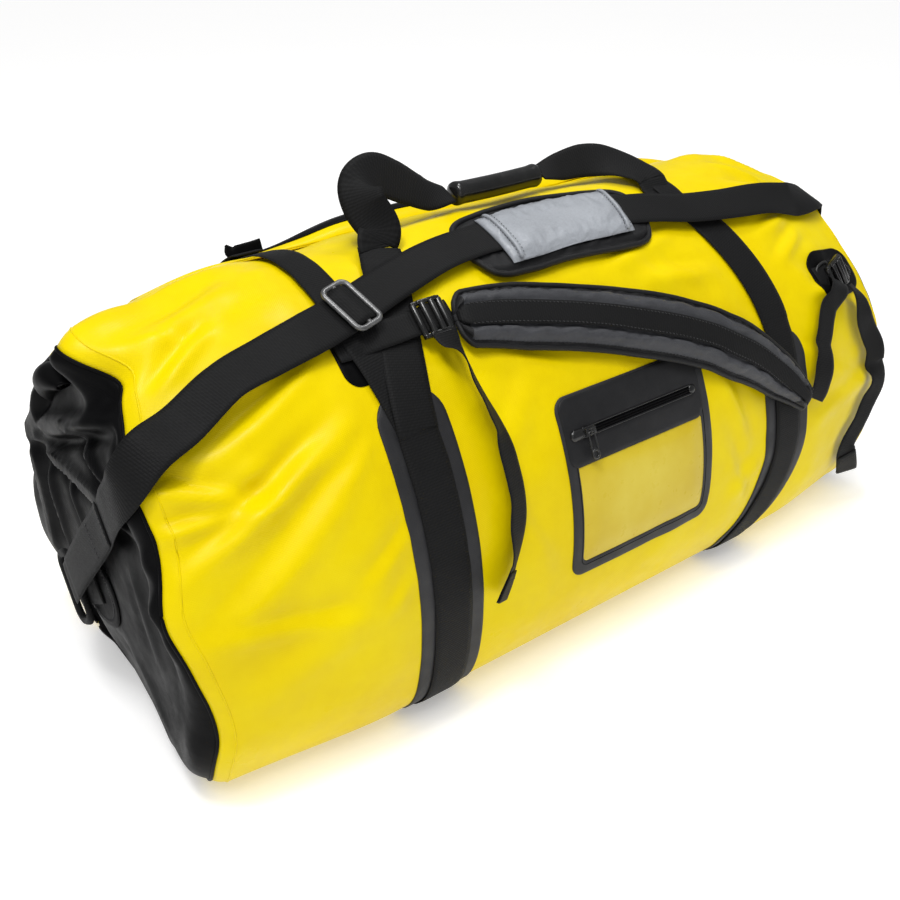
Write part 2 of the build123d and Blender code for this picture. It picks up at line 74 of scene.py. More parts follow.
def skin(x, a):
    """CAD skin: y, z at x and angle a (0 front belly, 90 crest, 180 back belly)."""
    x, a = np.broadcast_arrays(np.asarray(x, float), np.asarray(a, float))
    k = size_at(x)
    b = HALF_W * k
    c, s = np.cos(np.radians(a)), np.sin(np.radians(a))
    c = np.where(np.abs(c) < 1e-9, 0, c)
    side = np.where(a > 90, 1.0, -1.0)
    yu = side * b * np.abs(c) ** (2 / TOP_POWER)
    zu = BELLY_Z + CREST * k * np.abs(s) ** (2 / TOP_POWER)
    f = FLAT * k
    yl = side * (f + (b - f) * np.abs(c) ** (2 / LOW_POWER))
    zl = BELLY_Z * (1 - np.abs(s) ** (2 / LOW_POWER))
    return np.where(s >= 0, yu, yl), np.where(s >= 0, zu, zl)


def a_side(z, side=-1, x=0.0):
    z = np.asarray(z, float)
    up = np.clip((z - BELLY_Z) / (CREST * size_at(x)), 0, 1) ** (TOP_POWER / 2)
    lo = -(np.clip((BELLY_Z - z) / BELLY_Z, 0, 1)) ** (LOW_POWER / 2)
    a = np.degrees(np.arcsin(np.where(z >= BELLY_Z, up, lo)))
    return a if side < 0 else 180.0 - a


def a_top(y, x=0.0):
    c = np.clip(abs(y) / (HALF_W * size_at(x)), 0, 1) ** (TOP_POWER / 2)
    a = math.degrees(math.acos(c))
    return a if y < 0 else 180.0 - a


# The skin as a grid in x and in arc length, on which folds are added.
NX, NA = 241, 281
GX = np.linspace(-SEAM_X, SEAM_X, NX)
fine = np.linspace(-90, 270, 4001)
fy, fz = skin(0.0, fine)
arc = np.concatenate([[0], np.cumsum(np.hypot(np.diff(fy), np.diff(fz)))])
ARC = arc[-1]
GS = np.linspace(0, ARC, NA)
GA = np.interp(GS, arc, fine)


def s_of(a):
    return np.interp(a, fine, arc)


X2, A2 = np.meshgrid(GX, GA, indexing="ij")
S2 = np.meshgrid(GX, GS, indexing="ij")[1]
Y2, Z2 = skin(X2, A2)


def grid_normals(P):
    du = np.gradient(P, axis=0)
    dv = np.gradient(P, axis=1)
    n = np.cross(du, dv)
    n /= np.maximum(np.linalg.norm(n, axis=2, keepdims=True), 1e-12)
    return n


def bump(x, s, cx, cs, rx, rs, turn=0.0):
    """Smooth hump of height 1 at (cx, cs)."""
    ca, sa = math.cos(turn), math.sin(turn)
    u = ((x - cx) * ca + (s - cs) * sa) / rx
    v = (-(x - cx) * sa + (s - cs) * ca) / rs
    return np.exp(-(u * u + v * v))


def crease(x, s, p, q, width):
    """Fold along the line from p to q, fading at its ends; one side high, one low."""
    dx, ds = q[0] - p[0], q[1] - p[1]
    L = math.hypot(dx, ds)
    u = ((x - p[0]) * dx + (s - p[1]) * ds) / L
    v = (-(x - p[0]) * ds + (s - p[1]) * dx) / L
    env = np.exp(-(((u / L - 0.5) / 0.42) ** 4))
    v = v / width
    return env * (np.exp(-v * v) - 0.75 * np.exp(-((v - 1.3) ** 2)))


def between(F, x, s):
    """Value at x and arc length s of a grid F that spans the bag."""
    ni, nj = F.shape[:2]
    ix = np.clip((np.asarray(x) + SEAM_X) / (2 * SEAM_X) * (ni - 1), 0, ni - 1.0001)
    js = np.clip(np.asarray(s) / ARC * (nj - 1), 0, nj - 1.0001)
    i, j = ix.astype(int), js.astype(int)
    u, v = ix - i, js - j
    if F.ndim == 3:
        u, v = u[..., None], v[..., None]
    return (F[i, j] * (1 - u) * (1 - v) + F[i + 1, j] * u * (1 - v)
            + F[i, j + 1] * (1 - u) * v + F[i + 1, j + 1] * u * v)


P0 = np.stack([X2, Y2, Z2], axis=2)
N0 = grid_normals(P0)
FLIP = -1 if N0[NX // 2, NA // 2, 2] < 0 else 1     # so that normals point outwards
N0 = N0 * FLIP

# D is the height of the folds over the plain skin
D = np.zeros_like(X2)
SF = s_of(0.0)          # front belly line
ST = s_of(90.0)         # crest
upper = smooth((Z2 - 0.03) / 0.06)
# the sheets puff out between the girths and the ends
for x0, x1, h in ((-0.42, -0.24, 0.004), (-0.19, 0.20, 0.005), (0.25, 0.42, 0.004)):
    t = np.clip((X2 - x0) / (x1 - x0), 0, 1)
    D += h * np.sin(math.pi * t) ** 0.8 * upper
# folds: (x, s) of both ends, width, height
FOLDS = [
    ((-0.40, SF + 0.05), (-0.27, SF + 0.17), 0.014, 0.0035),
    ((-0.41, SF + 0.12), (-0.26, SF + 0.20), 0.012, 0.0040),
    ((-0.40, SF - 0.02), (-0.27, SF + 0.06), 0.018, 0.0022),
    ((-0.38, SF + 0.20), (-0.27, SF + 0.25), 0.010, 0.0030),
    ((-0.41, ST - 0.05), (-0.29, ST - 0.01), 0.016, 0.0050),
    ((-0.41, ST + 0.02), (-0.28, ST + 0.03), 0.014, 0.0040),
    ((-0.13, SF + 0.22), (-0.03, SF + 0.16), 0.012, 0.0025),
    ((-0.15, SF + 0.10), (-0.09, SF - 0.03), 0.012, 0.0020),
    ((0.12, SF + 0.16), (0.18, SF + 0.02), 0.011, 0.0025),
    ((0.13, SF + 0.06), (0.18, SF - 0.04), 0.010, 0.0020),
    ((0.28, SF + 0.20), (0.41, SF + 0.10), 0.014, 0.0030),
    ((0.27, SF + 0.10), (0.40, SF + 0.02), 0.013, 0.0025),
    ((0.28, SF + 0.02), (0.40, SF + 0.05), 0.012, 0.0020),
    ((0.26, ST - 0.05), (0.41, ST - 0.10), 0.013, 0.0040),
    ((0.27, ST + 0.03), (0.41, ST + 0.00), 0.013, 0.0040),
    ((-0.19, ST - 0.02), (-0.02, ST + 0.02), 0.014, 0.0020),
    ((-0.425, SF + 0.215), (-0.345, SF + 0.150), 0.009, 0.0045),
    ((-0.425, SF + 0.165), (-0.350, SF + 0.155), 0.008, 0.0035),
    ((-0.385, SF + 0.13), (-0.300, SF + 0.19), 0.009, 0.0030),
    ((-0.40, SF + 0.06), (-0.30, SF + 0.035), 0.010, 0.0022),
    ((-0.40, ST - 0.085), (-0.33, ST - 0.050), 0.008, 0.0040),
    ((-0.38, ST - 0.110), (-0.31, ST - 0.115), 0.009, 0.0030),
    ((0.05, ST - 0.115), (0.16, ST - 0.095), 0.010, 0.0030),
    ((0.09, ST - 0.135), (0.19, ST - 0.150), 0.010, 0.0026),
    ((0.30, ST - 0.010), (0.36, ST - 0.060), 0.007, 0.0030),
    ((0.33, ST + 0.015), (0.40, ST - 0.030), 0.007, 0.0032),
    ((0.25, ST - 0.130), (0.33, ST - 0.110), 0.008, 0.0028),
    ((0.27, ST - 0.165), (0.34, ST - 0.130), 0.008, 0.0030),
    ((0.30, ST - 0.200), (0.36, ST - 0.215), 0.008, 0.0024),
]
for i in range(44):
    x = random.uniform(-0.40, 0.40)
    s = random.uniform(0.1, ARC - 0.1)
    L = random.uniform(0.03, 0.10)
    t = random.uniform(-0.9, 0.9)
    FOLDS.append(((x, s), (x + L * math.cos(t), s + L * math.sin(t)), random.uniform(0.007, 0.014),
                  random.uniform(0.0006, 0.0018)))
for p, q, w, h in FOLDS:
    D += 1.5 * h * crease(X2, S2, p, q, w) * upper
coarse = np.array([[noise.fractal(Vector((x * 9, s * 9, 3.1)), 0.9, 2.1, 4) for s in np.linspace(0, ARC, 91)]
                   for x in np.linspace(-SEAM_X, SEAM_X, 61)])
D += 0.0030 * between(coarse, X2, S2) * upper
# quiet under the girths and the pocket
for cxg in (-0.214, 0.240):
    calm = np.exp(-((X2 - cxg) / 0.045) ** 4)
    D *= 1 - 0.8 * calm
    D -= 0.0012 * calm * upper
calm = np.exp(-((X2 - 0.018) / 0.115) ** 6) * np.exp(-((S2 - s_of(a_side(0.19))) / 0.115) ** 6)
D = D * (1 - 0.7 * calm) + 0.002 * calm
# and lower under the front grip
D = D - 0.0025 * bump(X2, S2, 0.016, s_of(a_top(0.020)), 0.070, 0.030)
# the rim rolls inwards where the end panels are welded in
roll = np.clip((np.abs(X2) - 0.404) / 0.016, 0, 1)
D -= 0.0075 * roll ** 2
P = P0 + N0 * D[..., None]
# the rim wanders, and its crest sticks out as a pinched ear at the left end
wander = (0.006 * np.sin(S2 * 17 + 0.6) + 0.004 * np.sin(S2 * 39 + 2.0)) * upper
P[..., 0] += wander * smooth((np.abs(X2) - 0.36) / 0.06)
edge_in = smooth((np.abs(X2) - 0.30) / 0.12)
ear = bump(X2, S2, -0.425, ST - 0.015, 0.050, 0.040)
P[..., 0] -= 0.022 * ear
P[..., 2] += 0.012 * ear
nip = bump(X2, S2, -0.42, ST - 0.048, 0.026, 0.016)
P[..., 0] += 0.014 * nip
P[..., 2] -= 0.006 * nip
sag = smooth((np.abs(X2) - 0.375) / 0.045) * np.exp(-((S2 - (ST - 0.108)) / 0.044) ** 2) * (X2 < 0)
P[..., 0] -= 0.018 * sag
P[..., 2] -= 0.015 * sag
P[..., 2] += 0.010 * bump(X2, S2, -0.392, ST + 0.005, 0.026, 0.030)
# stretches of the two rims that reach out or draw in: by how much, where, half width, power, end
REACH = (
    (-0.016, SF - 0.02, 0.14, 4, X2 < 0),
    (-0.024, s_of(a_side(0.275)), 0.085, 4, X2 < 0),
    (0.033, SF + 0.060, 0.11, 2, X2 > 0),
    (-0.016, ST - 0.02, 0.12, 2, X2 > 0),
    (0.012, ARC - SF - 0.05, 0.13, 2, np.sign(X2)),
)
for reach, at, half, power, end in REACH:
    P[..., 0] += reach * edge_in * np.exp(-(((S2 - at) / half) ** power)) * end
NRM = grid_normals(P) * FLIP


def surf(x, s, lift=0.0):
    """Points and normals on the folded bag at x and arc length s."""
    x, s = np.broadcast_arrays(np.asarray(x, float), np.asarray(s, float))
    n = between(NRM, x, s)
    n = n / np.linalg.norm(n, axis=-1, keepdims=True)
    return between(P, x, s) + n * np.asarray(lift)[..., None], n


# ------------------------------------------------------------------ materials
class Net:
    """Small helper to wire procedural nodes."""

    def __init__(self, name):
        self.mat = bpy.data.materials.new(name)
        self.mat.use_nodes = True
        self.nt = self.mat.node_tree
        self.nt.nodes.clear()
        out = self.node("OutputMaterial")
        self.bsdf = self.node("BsdfPrincipled")
        self.link(self.bsdf.outputs[0], out.inputs[0])

    def node(self, kind, **kw):
        n = self.nt.nodes.new("ShaderNode" + kind)
        for k, v in kw.items():
            setattr(n, k, v)
        return n

    def link(self, a, b):
        self.nt.links.new(a, b)

    def uv(self):
        return self.node("UVMap").outputs[0]

    def obj(self):
        return self.node("TexCoord").outputs["Object"]

    def noise(self, coord, scale, detail=4.0, rough=0.55):
        n = self.node("TexNoise")
        n.inputs["Scale"].default_value = scale
        n.inputs["Detail"].default_value = detail
        n.inputs["Roughness"].default_value = rough
        self.link(coord, n.inputs["Vector"])
        return n.outputs["Fac"]

    def math(self, op, a, b=None, c=None):
        n = self.node("Math", operation=op)
        for i, v in enumerate((a, b, c)):
            if v is None:
                continue
            if isinstance(v, (int, float)):
                n.inputs[i].default_value = v
            else:
                self.link(v, n.inputs[i])
        return n.outputs[0]

    def ramp(self, fac, stops):
        n = self.node("ValToRGB")
        el = n.color_ramp.elements
        while len(el) < len(stops):
            el.new(0.5)
        for e, (p, c) in zip(el, stops):
            e.position = p
            e.color = (*c, 1) if len(c) == 3 else c
        self.link(fac, n.inputs[0])
        return n.outputs[0]

    def range(self, v, a, b, c, d):
        n = self.node("MapRange")
        for i, q in enumerate((a, b, c, d)):
            n.inputs[i + 1].default_value = q
        self.link(v, n.inputs[0])
        return n.outputs[0]

    def xyz(self, coord):
        n = self.node("SeparateXYZ")
        self.link(coord, n.inputs[0])
        return n.outputs

    def bump(self, height, strength, dist, below=None):
        n = self.node("Bump")
        n.inputs["Strength"].default_value = strength
        n.inputs["Distance"].default_value = dist
        self.link(height, n.inputs["Height"])
        if below is not None:
            self.link(below, n.inputs["Normal"])
        return n.outputs[0]

    def done(self, color, rough, normal=None, **kw):
        b = self.bsdf
        for name, v in (("Base Color", color), ("Roughness", rough)):
            if isinstance(v, (int, float)):
                b.inputs[name].default_value = v
            else:
                self.link(v, b.inputs[name])
        if normal is not None:
            self.link(normal, b.inputs["Normal"])
        for k, v in kw.items():
            b.inputs[k.replace("_", " ")].default_value = v
        return self.mat


def weave_height(m, uv, pitch_u, pitch_v):
    """Plain weave: two crossed rounded ribs, in metres of pitch."""
    x = m.xyz(uv)
    su = m.math("SINE", m.math("MULTIPLY", x[0], 2 * math.pi / pitch_u))
    sv = m.math("SINE", m.math("MULTIPLY", x[1], 2 * math.pi / pitch_v))
    return m.math("MULTIPLY", su, sv)


def pvc(name, dark, mid, light, rough=0.36, scuff=0.06, coat=0.12, spec=0.35, ior=1.5):
    m = Net(name)
    uv, ob = m.uv(), m.obj()
    big = m.noise(ob, 5.0, 3.0)
    spots = m.noise(ob, 60.0, 5.0, 0.6)
    mix = m.math("ADD", m.math("MULTIPLY", big, 0.75), m.math("MULTIPLY", spots, 0.25))
    col = m.ramp(mix, [(0.30, dark), (0.5, mid), (0.72, light)])
    r = m.range(m.noise(ob, 28.0, 5.0, 0.6), 0.3, 0.75, rough - 0.06, rough + 0.14 + scuff)
    h = weave_height(m, uv, 0.0021, 0.0021)
    fine = m.noise(ob, 900.0, 2.0)
    soft = m.noise(ob, 34.0, 3.0, 0.5)
    n = m.bump(soft, 0.35, 0.0022)
    n = m.bump(h, 0.16, 0.0003, n)
    n = m.bump(fine, 0.08, 0.0002, n)
    return m.done(col, r, n, Coat_Weight=coat, Coat_Roughness=0.22, IOR=ior, Specular_IOR_Level=spec)


def webbing(name, base=0.020, tint=(1.0, 1.0, 1.04)):
    """Ribbed nylon webbing: u runs along the strap and v across, in metres."""
    m = Net(name)
    uv, ob = m.uv(), m.obj()
    x = m.xyz(uv)
    rib = m.math("SINE", m.math("MULTIPLY", x[0], 2 * math.pi / 0.0024))
    side = m.math("SINE", m.math("MULTIPLY", x[1], 2 * math.pi / 0.0050))
    along = m.math("MULTIPLY", x[0], 2 * math.pi / 0.0048)
    diag = m.math("SINE", m.math("ADD", along, m.math("MULTIPLY", x[1], 2 * math.pi / 0.0025)))
    h = m.math("ADD", m.math("MULTIPLY", rib, 0.6), m.math("MULTIPLY", m.math("MULTIPLY", diag, side), 0.5))
    fuzz = m.noise(ob, 420.0, 3.0, 0.7)
    patch = m.noise(ob, 14.0, 3.0)
    wear = m.math("ADD", m.math("MULTIPLY", fuzz, 0.35), m.math("MULTIPLY", patch, 0.3))
    # the colour follows the rib height as well as the random fuzz and wear: painted shade in the grooves
    # between the ribs and a painted highlight on their crests
    f = m.math("ADD", m.math("MULTIPLY", m.range(h, -1.1, 1.1, 0.0, 1.0), 0.4), wear)
    lo = tuple(base * 0.55 * t for t in tint)
    mi = tuple(base * 1.1 * t for t in tint)
    hi = tuple(base * 2.4 * t for t in tint)
    col = m.ramp(f, [(0.25, lo), (0.52, mi), (0.85, hi)])
    r = m.range(fuzz, 0.2, 0.8, 0.58, 0.78)
    n = m.bump(h, 0.30, 0.0004)
    n = m.bump(fuzz, 0.20, 0.0004, n)
    return m.done(col, r, n, Sheen_Weight=0.01, Sheen_Roughness=0.5, Specular_IOR_Level=0.16)


def plastic(name, base=0.008, rough=0.30, grain=0.08, metal=0.0):
    m = Net(name)
    ob = m.obj()
    g = m.noise(ob, 700.0, 3.0, 0.6)
    b = m.noise(ob, 60.0, 4.0)
    mix = m.math("ADD", m.math("MULTIPLY", g, 0.4), m.math("MULTIPLY", b, 0.6))
    col = m.ramp(mix, [(0.3, (base * 0.7,) * 3), (0.75, (base * 1.9,) * 3)])
    r = m.range(b, 0.25, 0.75, rough - 0.07, rough + 0.14)
    n = m.bump(g, grain, 0.0003)
    return m.done(col, r, n, IOR=1.5, Metallic=metal)


def pad_cloth(name, base, weave=0.0016, rough=0.55, sheen=0.15, contrast=1.9, coat=0.0, spec=0.35,
              crumple=0.25):
    m = Net(name)
    uv, ob = m.uv(), m.obj()
    h = weave_height(m, uv, weave, weave)
    fuzz = m.noise(ob, 500.0, 3.0, 0.65)
    patch = m.noise(ob, 18.0, 3.0)
    wear = m.math("ADD", m.math("MULTIPLY", fuzz, 0.35), m.math("MULTIPLY", patch, 0.4))
    # the colour follows the weave height as well as the random fuzz and wear: painted shade between the
    # threads and a painted highlight on their tops
    f = m.math("ADD", m.math("MULTIPLY", m.range(h, -1.0, 1.0, 0.0, 1.0), 0.25), wear)
    col = m.ramp(f, [(0.25, tuple(c * 0.6 for c in base)), (0.5, base),
                     (0.8, tuple(c * contrast for c in base))])
    r = m.range(fuzz, 0.2, 0.8, rough - 0.08, rough + 0.12)
    n = m.bump(h, 0.35, 0.0004)
    n = m.bump(m.noise(ob, 42.0, 3.0, 0.55), crumple, 0.0022, n)
    n = m.bump(fuzz, 0.15, 0.0003, n)
    return m.done(col, r, n, Sheen_Weight=sheen, Sheen_Roughness=0.45, Coat_Weight=coat,
                  Specular_IOR_Level=spec)


YELLOW = pvc("yellow_pvc", (0.72, 0.525, 0.0), (0.785, 0.60, 0.0), (0.84, 0.67, 0.001),
             rough=0.32, scuff=0.04, coat=0.05, spec=0.08)
BLACK = pvc("black_pvc", (0.0014, 0.0014, 0.0016), (0.0030, 0.0030, 0.0033), (0.0060, 0.0060, 0.0064),
            rough=0.40, scuff=0.08, coat=0.0, spec=0.10, ior=1.34)
BAND = pvc("pocket_band", (0.008, 0.008, 0.009), (0.014, 0.014, 0.015), (0.022, 0.022, 0.024),
           rough=0.44, scuff=0.06, coat=0.0, spec=0.20)
GREY = pvc("grey_strip", (0.012, 0.012, 0.013), (0.022, 0.022, 0.024), (0.036, 0.036, 0.038),
           rough=0.5, scuff=0.05, coat=0.0, spec=0.30)
WEB = webbing("webbing", 0.0044)
THREAD = pad_cloth("thread", (0.022, 0.022, 0.024), 0.0006, 0.6, 0.2, 1.6)
GLOSSY = plastic("grip_rubber", 0.007, 0.18, 0.04)
METAL = plastic("zip_metal", 0.012, 0.25, 0.04)
STEEL = plastic("glide_metal", 0.11, 0.34, 0.02, 0.6)
PAD = pad_cloth("pad_fabric", (0.0066, 0.0066, 0.0074), 0.0014, 0.48, 0.02, spec=0.25)
PADGREY = pad_cloth("pad_stripe", (0.042, 0.043, 0.048), 0.0014, 0.44, 0.03)
COVER = pad_cloth("grey_cover", (0.315, 0.332, 0.360), 0.0012, 0.33, 0.03, 1.35, 0.25, 0.5, 0.8)


def window_film():
    m = Net("clear_window")
    ob = m.obj()
    haze = m.noise(ob, 9.0, 4.0, 0.6)
    fine = m.noise(ob, 120.0, 3.0)
    col = m.ramp(haze, [(0.3, (0.57, 0.41, 0.010)), (0.52, (0.63, 0.48, 0.026)), (0.75, (0.70, 0.57, 0.065))])
    r = m.range(fine, 0.2, 0.8, 0.22, 0.42)
    n = m.bump(m.noise(ob, 22.0, 3.0), 0.4, 0.0016)
    return m.done(col, r, n, Coat_Weight=0.12, Coat_Roughness=0.18, IOR=1.48, Specular_IOR_Level=0.2)


FILM = window_film()


# ------------------------------------------------------------------ mesh helpers
def make(name, verts, faces, mat, uvs, body="bag", slot=None, node=None):
    """A closed piece that rides on a body and stands for the CAD node it replaces; slot is not used."""
    me = bpy.data.meshes.new(name)
    me.from_pydata([tuple(map(float, v)) for v in verts], [], [tuple(map(int, f)) for f in faces])
    me.validate()
    layer = me.uv_layers.new(name="UVMap")
    idx = np.zeros(len(me.loops), int)
    me.loops.foreach_get("vertex_index", idx)
    layer.data.foreach_set("uv", np.asarray(uvs, float)[idx].ravel())
    bm = bmesh.new()
    bm.from_mesh(me)
    bmesh.ops.recalc_face_normals(bm, faces=bm.faces)
    for f in bm.faces:
        f.smooth = True
    bm.to_mesh(me)
    bm.free()
    ob = bpy.data.objects.new(name, me)
    bpy.context.scene.collection.objects.link(ob)
    mats = mat if isinstance(mat, (list, tuple)) else [mat]
    for one in mats:
        me.materials.append(one)
    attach(ob, body)
    if node:
        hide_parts(node)
    return ob


def grid_faces(ni, nj, off=0, wrap_j=False):
    out = []
    for i in range(ni - 1):
        for j in range(nj if wrap_j else nj - 1):
            a = off + i * nj + j
            b = off + i * nj + (j + 1) % nj
            out.append((a, b, b + nj, a + nj))
    return out


def slab_faces(ni, nj, off=0):
    """Faces of a closed slab: a grid of points, then the same grid below it."""
    n = ni * nj
    rim = [(i, 0) for i in range(ni)] + [(ni - 1, j) for j in range(1, nj)]
    rim += [(i, nj - 1) for i in range(ni - 2, -1, -1)] + [(0, j) for j in range(nj - 2, 0, -1)]
    ids = [off + i * nj + j for i, j in rim]
    faces = grid_faces(ni, nj, off) + [tuple(reversed(f)) for f in grid_faces(ni, nj, off + n)]
    return faces + [(a, b, b + n, a + n) for a, b in zip(ids, ids[1:] + ids[:1])]


def tube_faces(count, n, closed=False):
    """Faces of a row of rings of n points, joined end to end or capped."""
    last = (count - 1) * n
    faces = grid_faces(count, n, 0, True)
    if closed:
        return faces + [(last + j, last + (j + 1) % n, (j + 1) % n, j) for j in range(n)]
    return faces + [tuple(range(n)), tuple(range(last, last + n))]


def run(C):
    """Distance along a line of points."""
    return np.concatenate([[0], np.cumsum(np.linalg.norm(np.diff(C, axis=0), axis=1))])


def shell(name, Q, N, thick, uv, mat, edge=0.0, **kw):
    """Closed thin sheet from a grid of points Q with normals N; edge rounds its rim."""
    ni, nj = Q.shape[:2]
    T = Q + N * thick
    if edge:
        for k, drop in ((0, 1.0), (1, 0.45)):
            for sl in (np.s_[k, :], np.s_[ni - 1 - k, :], np.s_[:, k], np.s_[:, nj - 1 - k]):
                T[sl] = Q[sl] + N[sl] * thick * (1 - edge * drop)
    verts = np.concatenate([T.reshape(-1, 3), Q.reshape(-1, 3)])
    uvs = np.concatenate([uv.reshape(-1, 2)] * 2)
    return make(name, verts, slab_faces(ni, nj), mat, uvs, **kw)


def spread(values, count):
    """Evenly spaced values, interpolated to count steps."""
    return np.interp(np.linspace(0, len(values) - 1, count), np.arange(len(values)), values)


def blend(N, count):
    """Normals at count even steps between those of the waypoints."""
    t = np.linspace(0, len(N) - 1, count)
    i = np.minimum(t.astype(int), len(N) - 2)
    f = (t - i)[:, None]
    return unit(N[i] * (1 - f) + N[i + 1] * f)


def catmull(pts, per):
    """Smooth line through points, with per steps between each two."""
    pts = np.asarray(pts, float)
    p = np.concatenate([[2 * pts[0] - pts[1]], pts, [2 * pts[-1] - pts[-2]]])
    out = []
    for i in range(1, len(p) - 2):
        for j in range(per):
            t = j / per
            a, b, c, d = p[i - 1], p[i], p[i + 1], p[i + 2]
            out.append(0.5 * (2 * b + (c - a) * t + (2 * a - 5 * b + 4 * c - d) * t * t
                              + (3 * b - a - 3 * c + d) * t ** 3))
    out.append(p[-2])
    return np.array(out)


def unit(v):
    return v / np.maximum(np.linalg.norm(v, axis=-1, keepdims=True), 1e-12)


def frames(C, N):
    """Tangents, normals square to them and the crosswise direction, along a line."""
    T = unit(np.gradient(C, axis=0))
    N = unit(N - (N * T).sum(1, keepdims=True) * T)
    B = np.cross(N, T)
    return T, N, B


def tape(name, C, N, width, thick, mat, crown=0.0, **kw):
    """Strap with rounded edges along the centre line C; N is its outer face."""
    _, N, B = frames(C, N)
    w = np.broadcast_to(np.asarray(width, float), (len(C),))
    prof = [(v, 1.0 if abs(v) < 0.999 else 0.35) for v in np.linspace(-1, 1, 9)]
    prof += [(v, -h) for v, h in reversed(prof)]
    L = run(C)
    verts, uvs = [], []
    for i in range(len(C)):
        for v, h in prof:
            z = h * thick * 0.5 + crown * (1 - v * v)
            verts.append(C[i] + B[i] * v * w[i] / 2 + N[i] * z)
            uvs.append((L[i], v * w[i] / 2))
    return make(name, verts, tube_faces(len(C), len(prof)), mat, uvs, **kw)


def on_bag(way, per=8):
    """Centre line and normals from waypoints (x, angle, lift)."""
    w = np.array([(x, s_of(a), h) for x, a, h in way])
    c = catmull(w, per)
    return surf(c[:, 0], c[:, 1], c[:, 2])


def tube(name, C, r, mat, n=10, closed=False, **kw):
    """Round rod along C with radius r, which may change along it."""
    C = np.asarray(C, float)
    T = unit(np.roll(C, -1, 0) - np.roll(C, 1, 0)) if closed else unit(np.gradient(C, axis=0))
    B = unit(np.cross(T, np.array([0.13, 0.31, 0.94])))     # any direction that no rod here runs along
    N = np.cross(B, T)
    th = np.linspace(0, 2 * math.pi, n, endpoint=False)
    rr = np.broadcast_to(np.asarray(r, float), (len(C),))
    around = np.cos(th)[None, :, None] * N[:, None] + np.sin(th)[None, :, None] * B[:, None]
    V = C[:, None] + rr[:, None, None] * around
    uv = np.stack(np.broadcast_arrays(run(C)[:, None], (th * 0.002)[None, :]), axis=2).reshape(-1, 2)
    return make(name, V.reshape(-1, 3), tube_faces(len(C), n, closed), mat, uv, **kw)


def stitches(name, C, N, pitch=0.0042, length=0.0028, r=0.00045, **kw):
    """Row of raised thread stitches along C, each a small lozenge."""
    C, N = np.asarray(C, float), np.asarray(N, float)
    L = run(C)
    at = np.arange(pitch / 2, L[-1], pitch)

    def along(A, d):
        return np.stack([np.interp(d, L, A[:, k]) for k in range(3)], 1)
    pos, nr = along(C, at), unit(along(N, at))
    tg = unit(along(C, np.minimum(at + 1e-3, L[-1])) - along(C, np.maximum(at - 1e-3, 0)))
    bt = np.cross(nr, tg)
    verts, faces, uvs = [], [], []
    h = length / 2
    for p, n, t, b in zip(pos, nr, tg, bt):
        k = len(verts)
        verts += [p - t * h, p + b * r * 1.2 - t * h * 0.3, p + t * h, p - b * r * 1.2 + t * h * 0.3,
                  p + n * r * 1.5, p - n * r]
        uvs += [(0, 0)] * 6
        for a in range(4):
            b2 = (a + 1) % 4
            faces += [(k + a, k + b2, k + 4), (k + b2, k + a, k + 5)]
    return make(name, verts, faces, THREAD, uvs, **kw)


# ------------------------------------------------------------------ body sheets
def sheet(name, s0, s1, part=slice(None), **kw):
    """The skin between two arc lengths, or a part of it, as a coated sheet."""
    j0, j1 = (int(round(s / ARC * (NA - 1))) for s in (s0, s1))
    cut = np.s_[part, j0:j1 + 1]
    uv = np.stack([X2[cut], S2[cut]], axis=2)
    shell(name, P[cut] - NRM[cut] * SHEET_T, NRM[cut], SHEET_T, uv, YELLOW, **kw)


MOUTH0, MOUTH1 = s_of(a_top(0.082)), s_of(a_top(0.150))
sheet("front_sheet", 0, MOUTH0, node="front_panel")
sheet("back_sheet", MOUTH1, ARC, node="back_panel")
sheet("mouth_gusset_left", MOUTH0, MOUTH1, GX <= -0.334)
sheet("mouth_gusset_right", MOUTH0, MOUTH1, GX >= 0.334)

for end, sx in ENDS:
    q, n = surf(np.full(220, sx * 0.408), np.linspace(0.01, ARC - 0.01, 220), 0.0)
    tube("hem_line_" + end, q, 0.0009, YELLOW, 8)


def tuck(y):
    """How far the bottom edge of the left end is drawn in."""
    return 0.004 * smooth((y + 0.11) / 0.13) * smooth((0.112 - y) / 0.03)


def foot_x(k, y):
    """Where the side sheets' bottom edges end, from the front corner to the back one."""
    a, b = P[k, 0], P[k, -1]
    return a[0] + (b[0] - a[0]) * np.clip((y - a[1]) / (b[1] - a[1]), 0, 1)


BX, BY = np.meshgrid(np.linspace(-SEAM_X, SEAM_X, 85), np.linspace(-1, 1, 31), indexing="ij")
edge_y = BY * FLAT * size_at(BX)
end_x = np.where(BX < 0, -(foot_x(0, edge_y) + tuck(edge_y)), foot_x(-1, edge_y))
base = np.stack([BX * end_x / SEAM_X, edge_y, np.zeros_like(BX)], axis=2)
shell("base_sheet", base, np.broadcast_to([0.0, 0, 1], base.shape), 0.0028, base[..., :2], BLACK,
      node="base_panel")


